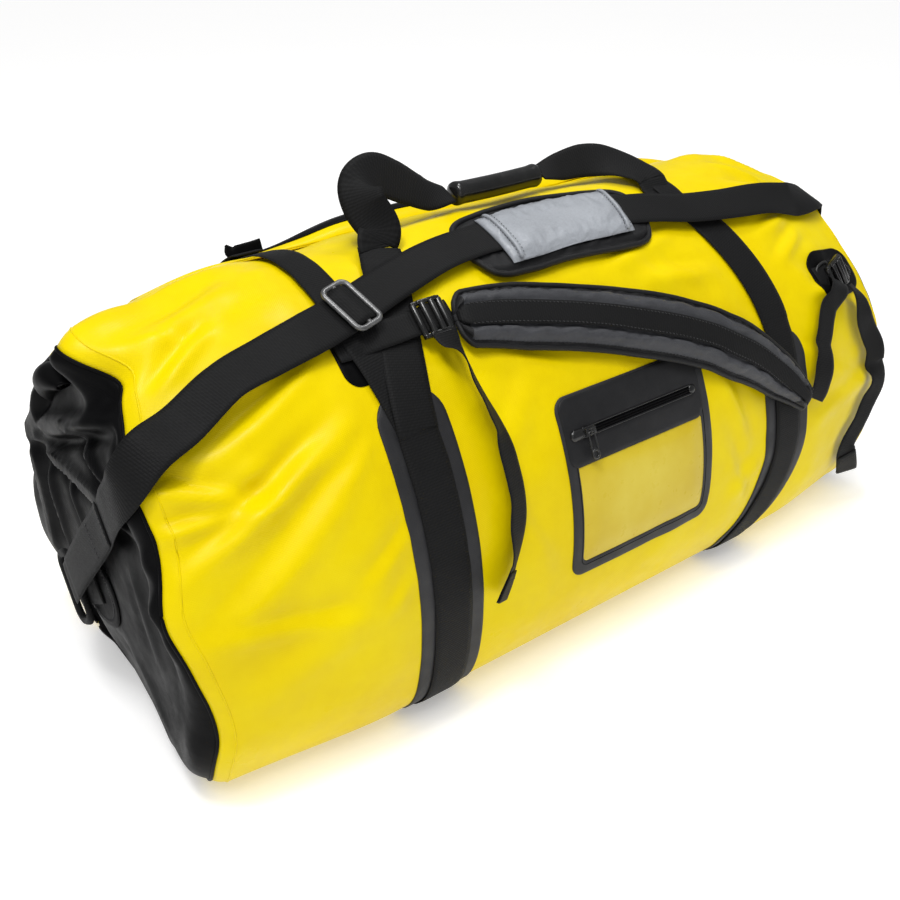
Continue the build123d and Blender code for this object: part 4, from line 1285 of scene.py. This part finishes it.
def cushion(name, C, N, W, height, profile, mats, pick, pin_v, pressure, cap, fill, droop, **kw):
    """Pad along a centre line. profile(v) is its height share across, and droop bends it round the bag."""
    _, N, B = frames(C, N)
    n, nv = len(C), 33
    vs = np.sin(np.linspace(-math.pi / 2, math.pi / 2, nv))
    L = run(C)
    taper = (1 - (1 - np.clip(np.minimum(L, L[-1] - L) / 0.012, 0, 1)) ** 2) ** 0.5
    top = np.zeros((n, nv, 3))
    bot = np.zeros((n, nv, 3))
    for i in range(n):
        w = W[i] / 2
        fall = droop * (vs * w) ** 2
        h = height * profile(vs) * (0.30 + 0.70 * taper[i]) - fall
        top[i] = C[i] + B[i] * (vs * w)[:, None] + N[i] * h[:, None]
        bot[i] = C[i] + B[i] * (vs * w)[:, None] - N[i] * fall[:, None]
    pin = np.zeros((n, nv), bool)
    pin[0] = pin[-1] = True
    pin[:, 0] = pin[:, -1] = True
    for v in pin_v:
        pin[:, np.argmin(np.abs(vs - v))] = True
    # wind the sheet so that pressure pushes it outwards
    g = np.cross(top[1, 1] - top[0, 1], top[0, 2] - top[0, 1])
    out = puff(name + "_fill", top, pin, pressure if g @ N[0] > 0 else -pressure, cap)
    verts = np.concatenate([out.reshape(-1, 3), bot.reshape(-1, 3)])
    uv = np.stack([np.broadcast_to(L[:, None], (n, nv)), vs[None] * (W[:, None] / 2)], axis=2).reshape(-1, 2)
    ob = make(name, verts, slab_faces(n, nv), mats, np.concatenate([uv, uv]), **kw)
    idx = np.zeros(len(ob.data.polygons), int)
    for i in range(n - 1):
        for j in range(nv - 1):
            idx[i * (nv - 1) + j] = pick(abs(vs[j] + vs[j + 1]) / 2, L[i], L[-1])
    ob.data.polygons.foreach_set("material_index", idx)
    return out, vs, L, N, B


# webbings of the backpack straps: (x, lift) at the left, (x, z, lift, share of the patch's drop) at the right
LEFT_WEB = ((-0.256, 0.0030), (-0.238, 0.0040), (-0.215, 0.0065), (-0.190, 0.0085), (-0.172, 0.0095),
            (-0.166, 0.0128), (-0.158, 0.0128), (-0.152, 0.0095), (-0.140, 0.0088))
RIGHT_WEB = ((0.274, 0.184, 0.0105, 0), (0.280, 0.194, 0.0125, 0), (0.288, 0.210, 0.0110, 0.3),
             (0.297, 0.234, 0.0085, 0.6), (0.310, 0.257, 0.0080, 0.9), (0.328, 0.275, 0.0085, 1),
             (0.342, 0.281, 0.0100, 1))


def backpack_profile(v):
    a = np.abs(v)
    edge = np.sqrt(np.clip(1 - a ** 6, 0, 1))
    groove = np.exp(-((a - 0.36) / 0.05) ** 2) * 0.22 + np.exp(-((a - 0.84) / 0.05) ** 2) * 0.25
    puffy = 0.80 + 0.20 * np.exp(-((a - 0.60) / 0.16) ** 2)
    return np.clip(edge * puffy - groove, 0.12, 1.0)


for side, sg in SIDES:
    way = np.array([(x, sz(z, sg), 0.0062) for x, z in zip(PADX, PADZ[side])])
    c = catmull(way, 20)
    C, N = surf(c[:, 0], c[:, 1], c[:, 2])
    C, N = eased(C, N, 14)
    W = spread(PADW, len(C))
    # the left end is rounded and the right end runs to a point
    _, N, B = frames(C, N)
    r = 0.031
    d = np.clip(r - run(C), 0, r)
    W = np.maximum(np.minimum(W, 2 * np.sqrt(np.maximum(r * r - d * d, 0)) + 0.004), 0.006)
    W[-1] = 0.012
    out, vs, L, N, B = cushion("backpack_strap_" + side, C, N, W, 0.0120, backpack_profile, [PAD, PADGREY],
                               lambda v, l, l1: 1 if 0.30 < v < 0.84 and 0.008 < l < l1 - 0.02 else 0,
                               (-0.36, 0.36, -0.84, 0.84, 0.0, -0.18, 0.18), 3.5, 0.0013, 0.75, PAD_DROOP,
                               node="backpack_pad_" + side)
    mid = out[:, len(vs) // 2]
    tape(f"backpack_{side}_spine", mid + N * 0.0018, N, np.minimum(W * 0.40, 0.0235), 0.0014, WEB)
    for sgn in (1, -1):
        edge = C + B * (sgn * W / 2)[:, None] * 0.985 + N * (0.0040 - PAD_DROOP * (W / 2) ** 2)[:, None]
        tube(f"backpack_{side}_piping_{edge_name(sgn)}", edge, 0.0027, PAD, 10)
        row = out[3:-3, np.argmin(np.abs(vs - sgn * 0.84))]
        stitches(f"backpack_{side}_stitch_{edge_name(sgn)}", row + N[3:-3] * 0.0003, N[3:-3])
        row = mid[3:-3] + B[3:-3] * sgn * 0.0095
        stitches(f"backpack_{side}_spine_stitch_{edge_name(sgn)}", row + N[3:-3] * 0.0026, N[3:-3])
    for k, e in (("left", 0), ("right", -1)):
        v = np.linspace(-1, 1, 9) * W[e] / 2
        q = C[e] + B[e] * v[:, None] + N[e] * (0.0040 - PAD_DROOP * v ** 2)[:, None]
        tube(f"backpack_{side}_piping_{k}", q, 0.0027, PAD, 10)

    z = LOCKZ[side]
    s = sz(z, sg)
    m = seat(-0.162, s, 0.0080)
    ladder(f"ladder_{side}_left", m, f"ladder_lock_{side}_left")
    # webbing from the patch through the lock
    C2, N2 = on_bag([(x, float(a_side(z, sg)), h) for x, h in LEFT_WEB], 6)
    tape(f"web_{side}_left", C2, N2, ADJUST_W, 0.0014, WEB, node=f"backpack_web_{side}_left")
    sp = sz(ZP[side], sg, 0.368)
    m = seat(0.357, sp, 0.0060, 20.0 * -sg)
    ladder(f"ladder_{side}_right", m, f"ladder_lock_{side}_right")
    ring = seat(0.341, sp, 0.0052, 20.0 * -sg) @ Matrix.Rotation(math.radians(-18), 4, "Y")
    ring_at(f"patch_ring_{side}", ring, 0.020, 0.030, 0.007, 0.0016, METAL, n=10)
    lifts = np.array([0.0024, 0.003, 0.0038, 0.0045, 0.0052, 0.0064, 0.0078])
    C2, N2 = surf(np.linspace(0.324, 0.341, 7), np.full(7, sp), lifts)
    tape(f"patch_loop_{side}", C2, N2, 0.024, 0.0014, WEB)
    low = ZP[side] - ZP["front"]
    way = [(x, float(a_side(z + low * t, sg)), lift) for x, z, lift, t in RIGHT_WEB]
    C2, N2 = on_bag(way, 8)
    tape(f"web_{side}_right", C2, N2, 0.027, 0.0014, WEB, node=f"backpack_web_{side}_right")


def tail(name, way, node, twist):
    """Free end of a strap: it hangs down the bag, twists, and is folded back and sewn at its end."""
    C, out = on_bag([(x, float(a_side(z)), h) for x, z, h in way], 10)
    n = len(C)
    _, N, B = frames(C, out)
    a = np.radians(spread(twist, n))[:, None]
    N = N * np.cos(a) + B * np.sin(a)
    C = C + np.abs(np.sin(a)) * 0.006 * out
    tape(name, C, N, ADJUST_W, 0.0014, WEB, node=node)
    C2, N2 = C[-9:] + N[-9:] * 0.0016, N[-9:]
    tape(name + "_fold", C2, N2, 0.0245, 0.0014, WEB)
    _, N3, B = frames(C2, N2)
    q = C2[2] + B[2] * np.linspace(-0.0105, 0.0105, 12)[:, None] + N3[2] * 0.0008
    stitches(name + "_stitch", q, np.tile(N3[2], (12, 1)), 0.0030, 0.0022)


tail("tail_front_left",
     ((-0.158, 0.342, 0.0135), (-0.157, 0.318, 0.0150), (-0.151, 0.292, 0.0120), (-0.144, 0.262, 0.0110),
      (-0.142, 0.225, 0.0090), (-0.145, 0.190, 0.0080), (-0.154, 0.160, 0.0080), (-0.170, 0.131, 0.0100)),
     "strap_tail_front_left", (0, 52, 48, 30, 20, 28, 40, 30))
tail("tail_front_right",
     ((0.362, 0.275, 0.0130), (0.360, 0.252, 0.0150), (0.366, 0.228, 0.0120), (0.374, 0.203, 0.0110),
      (0.378, 0.161, 0.0090), (0.369, 0.121, 0.0080), (0.352, 0.094, 0.0090), (0.380, 0.054, 0.0120)),
     "strap_tail_front_right", (0, -8, -20, -26, -20, -15, -24, -30))


# ------------------------------------------------------------------ end anchors
for end, sx in ENDS:
    at = end_where(sx)
    plate("end_oval_" + end, [oval(0.012, 0.134, 0.052, 0.040)], 0.0003, 0.0016, BLACK, where=at, soft=0.003,
          node="end_patch_" + end)
    radial_stitches("end_oval_stitch_" + end, 0.012, 0.134, 0.041, 0.030, 0.0018, 72, 0.0050, where=at)
    tx = np.array([math.cos(math.radians(-32)), math.sin(math.radians(-32))])
    u = np.linspace(-0.5, 0.5, 15)
    C = np.stack([np.full(15, sx * 0.4484), 0.025 + tx[0] * u * 0.062, 0.126 + tx[1] * u * 0.062], 1)
    C[-4:, 0] += sx * np.array([0.0006, 0.0014, 0.0026, 0.0038])
    tape("end_tab_web_" + end, C, np.tile([sx, 0.0, 0.0], (15, 1)), 0.040, 0.0018, WEB, node="end_tab_" + end)
    m = Matrix(((0, 0, sx), (1, 0, 0), (0, 1, 0))).to_4x4()
    m.translation = Vector((sx * 0.4526, 0.052, 0.108))
    m = m @ Matrix.Rotation(math.radians(58), 4, "Z")
    ring_at("end_loop_" + end, m, 0.067, 0.037, 0.013, 0.0042, WEB, 0.8, 14, node="end_ring_" + end,
            slot="black_plastic")


# ------------------------------------------------------------------ shoulder strap
SHL = 0.0104


def skin_way(pts, per):
    """Centre line from waypoints, each (x, y, lift) over the top or a free point and normal."""
    Q, N = [], []
    for p in pts:
        if len(p) == 3:
            x, y, h = p
            q, n = surf(x, s_of(a_top(y, x)), h)
        else:
            q, n = np.array(p[:3]), np.array(p[3:])
        Q.append(q)
        N.append(n / np.linalg.norm(n))
    C = catmull(Q, per)
    return C, blend(np.array(N), len(C))


# from the ring on the left end panel, up its dome and along the top
left_pts = [(-0.460, 0.040, 0.122, -1, 0, 0.1), (-0.459, 0.008, 0.158, -1, 0, 0.1),
            (-0.456, -0.025, 0.196, -1, -0.05, 0.1), (-0.453, -0.059, 0.234, -1, -0.1, 0.2),
            (-0.456, -0.090, 0.268, -1, -0.25, 0.35), (-0.453, -0.116, 0.298, -0.75, -0.5, 0.60),
            (-0.430, -0.121, 0.326, -0.25, -0.65, 0.80), (-0.385, -0.104, SHL + 0.001),
            (-0.350, -0.097, SHL), (-0.310, -0.094, SHL), (-0.270, -0.090, SHL), (-0.226, -0.080, SHL),
            (-0.170, -0.066, SHL), (-0.118, -0.057, SHL), (-0.070, -0.053, SHL), (-0.020, -0.053, SHL),
            (0.040, -0.054, SHL)]
C, N = skin_way(left_pts, 10)
tape("shoulder_web_left", C, N, 0.040, 0.0018, WEB, node="shoulder_strap_left")
C2, N2 = C[4:34] + N[4:34] * 0.0019, N[4:34]
tape("shoulder_lap_left", C2, N2, 0.039, 0.0016, WEB)
_, N3, B2 = frames(C2, N2)
for k in (20, 28):
    q = C2[k] + B2[k] * np.linspace(-0.017, 0.017, 14)[:, None] + N3[k] * 0.0009
    stitches(f"shoulder_lap_left_stitch_{k}", q, np.tile(N3[k], (14, 1)))
# along the top and down to the ring on the right end panel
right_pts = [(0.0406, -0.054, SHL), (0.090, -0.058, SHL), (0.140, -0.065, SHL), (0.190, -0.074, SHL),
             (0.245, -0.081, SHL), (0.300, -0.084, SHL - 0.001), (0.350, -0.083, SHL - 0.002),
             (0.388, -0.079, SHL - 0.003), (0.406, -0.074, 0.349, 0.40, -0.3, 0.85),
             (0.425, -0.064, 0.331, 0.8, -0.25, 0.6), (0.448, -0.048, 0.300, 1, -0.15, 0.2),
             (0.459, -0.028, 0.258, 1, -0.1, 0.1), (0.460, 0.004, 0.190, 1, 0, 0.1),
             (0.460, 0.040, 0.122, 1, 0, 0.1)]
C, N = skin_way(right_pts, 10)
tape("shoulder_web_right", C, N, 0.040, 0.0018, WEB, node="shoulder_strap_right")
C2, N2 = C[-34:-4] + N[-34:-4] * 0.0019, N[-34:-4]
tape("shoulder_lap_right", C2, N2, 0.039, 0.0016, WEB)

# tri-glide on the left half of the strap
m = seat(-0.226, s_of(a_top(-0.080)), 0.0165, 15.376)
ring_at("glide_frame", m, 0.027, 0.047, 0.006, 0.0026, STEEL, 0.8, 14, body="strap_slider", node="tri_glide")
solid("glide_bar", [("rod", (0, -0.0225, 0.0), (0, 0.0225, 0.0), 0.0022)], STEEL, m, body="strap_slider")
cx_ = np.linspace(-0.0135, 0.0135, 21)
past = np.maximum(np.abs(cx_) - 0.0085, 0) / 0.005
hz = 0.0032 * np.cos(np.clip(cx_ / 0.0090, -1, 1) * math.pi / 2) ** 1.2 - 0.0028 * past
C = np.array([tuple(m @ Vector((a, 0, h))) for a, h in zip(cx_, hz)])
nz = np.array(tuple(m.to_3x3() @ Vector((0, 0, 1))))
tape("glide_web", C, np.tile(nz, (21, 1)), 0.0395, 0.0016, WEB, body="strap_slider")

# pad under the strap
px = (-0.088, -0.076, -0.030, 0.020, 0.075, 0.122, 0.134)
py = (-0.059, -0.058, -0.056, -0.055, -0.060, -0.066, -0.068)
C, N = skin_way([(x, y, 0.0026) for x, y in zip(px, py)], 12)
_, N, B = frames(C, N)
L = run(C)
W = np.interp(L / L[-1], [0, 0.05, 0.25, 0.5, 0.75, 0.95, 1],
              [0.060, 0.077, 0.084, 0.086, 0.082, 0.073, 0.058])
r = 0.030
d = np.clip(r - np.minimum(L, L[-1] - L), 0, r)
W = W - 2 * (r - np.sqrt(np.maximum(r * r - d * d, 0))) * 0.95


def base_profile(v):
    a = np.abs(v)
    return np.clip(np.sqrt(np.clip(1 - a ** 8, 0, 1)) - 0.35 * np.exp(-((a - 0.86) / 0.05) ** 2), 0.15, 1)


out, vs, L, N, B = cushion("shoulder_pad_base", C, N, W, 0.0064, base_profile, [PAD, PADGREY], lambda v, l,
                           l1: 0,
                           (-0.86, 0.86, 0.0, -0.3, 0.3), 3.0, 0.0010, 0.6, 1.7, node="shoulder_pad")
low = N * (0.0034 - 1.7 * (W / 2) ** 2)[:, None]
edge_a = C + B * (W / 2)[:, None] * 0.985 + low
edge_b = C - B * (W / 2)[:, None] * 0.985 + low
loop = np.concatenate([edge_a, edge_b[::-1]])
tube("shoulder_pad_piping", loop, 0.0030, PAD, 10, closed=True)

# padded cover over the strap
cxs = (-0.054, -0.020, 0.025, 0.070, 0.104)
cys = (-0.058, -0.057, -0.056, -0.058, -0.061)
C, N = skin_way([(x, y, 0.0119) for x, y in zip(cxs, cys)], 14)
W = spread((0.062, 0.064, 0.064, 0.062, 0.058), len(C))
COVER_DROOP = 2.6


def cover_profile(v):
    a = np.abs(v)
    return np.clip(np.sqrt(np.clip(1 - a ** 5, 0, 1)), 0.05, 1)


out, vs, L, N, B = cushion("shoulder_cover", C, N, W, 0.0060, cover_profile, [COVER], lambda v, l, l1: 0,
                           (-0.78, 0.78), 2.5, 0.0010, 0.7, COVER_DROOP, node="shoulder_pad_cover")
# end bars: a folded hem with two rows of stitches
n = len(C)
for k, (i0_, i1_) in (("left", (1, 7)), ("right", (n - 8, n - 2))):
    i = (i0_ + i1_) // 2
    v = np.linspace(-0.97, 0.97, 25)
    h = 0.0072 * cover_profile(v) - COVER_DROOP * (v * W[i] / 2) ** 2
    q = C[i] + B[i] * (v * W[i] / 2)[:, None] + N[i] * h[:, None]
    tube(f"cover_hem_{k}", q, 0.0020, COVER, 10)
    for dd in (-3.6, 3.6):
        qq = q + unit(C[i1_] - C[i0_]) * dd * 0.001
        stitches(f"cover_stitch_{k}_{'a' if dd < 0 else 'b'}", qq + N[i] * 0.0006, np.tile(N[i], (25, 1)),
                 0.0036, 0.0024)


# ------------------------------------------------------------------ handles
def free_way(pts, per):
    """Centre line from free points with their normals."""
    p = np.array(pts, float)
    C = catmull(p[:, :3], per)
    return C, blend(unit(p[:, 3:]), len(C))


# the loops of the front handle: points and normals, each from its foot to the grip or back
HL = [(-0.158, -0.029, 0.396, 0, -0.7, 0.7), (-0.1574, -0.0262, 0.4005, 0, -0.85, 0.5),
      (-0.151, -0.020, 0.411, -0.25, -0.85, 0.5), (-0.159, -0.009, 0.431, -0.6, -0.8, 0.2),
      (-0.155, 0.002, 0.446, -0.65, -0.7, 0.3), (-0.134, 0.009, 0.449, -0.1, -0.85, 0.5),
      (-0.104, 0.014, 0.435, 0.2, -0.85, 0.5), (-0.072, 0.018, 0.418, 0.15, -0.75, 0.65),
      (-0.042, 0.020, 0.411, 0, -0.4, 1)]
HR = [(0.074, 0.020, 0.411, 0, -0.4, 1), (0.100, 0.019, 0.413, -0.1, -0.75, 0.6),
      (0.130, 0.016, 0.415, 0, -0.8, 0.6), (0.156, 0.007, 0.413, 0.2, -0.75, 0.65),
      (0.177, -0.010, 0.406, 0.2, -0.65, 0.75), (0.187, -0.024, 0.399, 0, -0.5, 1),
      (0.188, -0.029, 0.3965, 0, -0.5, 1)]
C, N = free_way(HL, 12)
W = spread((0.040, 0.040, 0.040, 0.040, 0.040, 0.041, 0.041, 0.037, 0.026), len(C))
tape("handle_web_left", C, N, W, 0.0019, WEB, body="front_handle", node="handle_front_left")
C, N = free_way(HR, 12)
W = spread((0.022, 0.030, 0.036, 0.039, 0.040, 0.040, 0.040), len(C))
tape("handle_web_right", C, N, W, 0.0019, WEB, body="front_handle", node="handle_front_right")


def grip(name, C, r, body, node):
    """Moulded grip with flared collars."""
    C = np.asarray(C, float)
    t = np.linspace(0, 1, len(C))
    e = np.minimum(t, 1 - t) * np.linalg.norm(C[-1] - C[0])
    rr = r * (1 - 0.45 * np.clip(1 - e / 0.0035, 0, 1) ** 2) * (0.94
                                                                + 0.06 * np.exp(-((e - 0.006) / 0.004) ** 2))
    tube(name, C, rr, GLOSSY, 28, body=body, node=node, slot="grip_rubber")


C = np.stack([np.linspace(-0.039, 0.071, 47), np.full(47, 0.020),
              0.410 - 0.0008 * np.sin(np.linspace(0, math.pi, 47))], 1)
grip("grip_front_rubber", C, 0.0118, "front_handle", "grip_front")

hang = 0.0105
BZ = (0.168, 0.160, 0.148, 0.129, 0.111, 0.097, 0.092)
BXX = (0.214, 0.2136, 0.206, 0.184, 0.150, 0.106, 0.066)
BL = (0.0065, 0.0080, hang, hang, hang, hang, hang)
for end, sx in ENDS:
    shift = 0.026 if sx > 0 else 0.0
    way = [(sx * x + shift * (x - 0.066) / 0.148, float(a_side(z, 1)), h) for x, z, h in zip(BXX, BZ, BL)]
    C, N = on_bag(way, 10)
    W = spread((0.040, 0.040, 0.040, 0.038, 0.034, 0.028, 0.022), len(C))
    tape("handle_back_web_" + end, C, N, W, 0.0019, WEB, body="back_handle", node="handle_back_" + end)
q, nn = skin(0.0, a_side(0.093, 1))
y2, z2 = skin(0.0, a_side(0.093, 1) + 0.2)
ty, tz = float(y2 - q), float(z2 - nn)
Ln = math.hypot(ty, tz)
ny, nz_ = -tz / Ln, ty / Ln
if ny < 0:
    ny, nz_ = -ny, -nz_
gy, gz = float(q) + ny * 0.0155, float(nn) + nz_ * 0.0155
C = np.stack([np.linspace(-0.065, 0.065, 47), np.full(47, gy), np.full(47, gz)], 1)
grip("grip_back_rubber", C, 0.0130, "back_handle", "grip_back")


# ------------------------------------------------------------------ stage, lights, camera
m = Net("studio_floor")
pale = m.ramp(m.noise(m.obj(), 3.0, 2.0), [(0.3, (0.8955, 0.890525, 0.88555)), (0.7, (0.90, 0.895, 0.89))])
floor_mat = m.done(pale, 0.9, Emission_Color=(1.0, 0.99, 0.98, 1), Emission_Strength=0.30)
me = bpy.data.meshes.new("floor")
me.from_pydata([(-9, -9, -0.0012), (9, -9, -0.0012), (9, 9, -0.0012), (-9, 9, -0.0012)], [], [(0, 1, 2, 3)])
floor = bpy.data.objects.new("floor", me)
me.materials.append(floor_mat)
bpy.context.scene.collection.objects.link(floor)
floor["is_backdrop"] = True

world = bpy.data.worlds.new("studio")
world.use_nodes = True
world.node_tree.nodes["Background"].inputs[0].default_value = (0.96, 0.98, 1.0, 1)
world.node_tree.nodes["Background"].inputs[1].default_value = 0.30
bpy.context.scene.world = world


def light(name, kind, where, aim, power):
    d = bpy.data.lights.new(name, kind)
    d.energy = power
    o = bpy.data.objects.new(name, d)
    o.location = where
    o.rotation_euler = (Vector(aim) - Vector(where)).to_track_quat("-Z", "Y").to_euler()
    bpy.context.scene.collection.objects.link(o)
    return d


def area(name, where, aim, size, power):
    d = light(name, "AREA", where, aim, power)
    d.shape = "RECTANGLE"
    d.size = d.size_y = size


light("overhead", "SUN", (-0.75, -0.90, 3.0), (-0.50, -0.60, 2.0), 1.55).angle = math.radians(40)
area("key", (-0.75, -0.30, 1.9), (0, 0, 0.2), 0.35, 10)
area("top", (0.45, 0.20, 1.9), (0.15, 0, 0.2), 0.40, 9)
area("front", (-1.5, -2.0, 1.2), (0, 0, 0.15), 1.1, 3.8)

cam = bpy.data.cameras.new("camera")
cam.sensor_width = 36.0
cam.lens = 44.65
co = bpy.data.objects.new("camera", cam)
right_ = Vector((0.79249, -0.60987, 0.00452))
up_ = Vector((0.30558, 0.40346, 0.86246))
back_ = right_.cross(up_)
mm = Matrix((right_, up_, back_)).transposed().to_4x4()
mm.translation = Vector((-0.6854, -0.8152, 0.7431))
co.matrix_world = mm
bpy.context.scene.collection.objects.link(co)
bpy.context.scene.camera = co
bpy.context.scene.view_settings.view_transform = "Standard"

bpy.context.view_layer.update()
lo, hi = np.full(3, 9.0), np.full(3, -9.0)
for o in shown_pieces():
    if o.type == "MESH":
        v = np.zeros(len(o.data.vertices) * 3)
        o.data.vertices.foreach_get("co", v)
        v = v.reshape(-1, 3) @ np.array(o.matrix_world.to_3x3()).T + np.array(o.matrix_world.translation)
        lo, hi = np.minimum(lo, v.min(0)), np.maximum(hi, v.max(0))
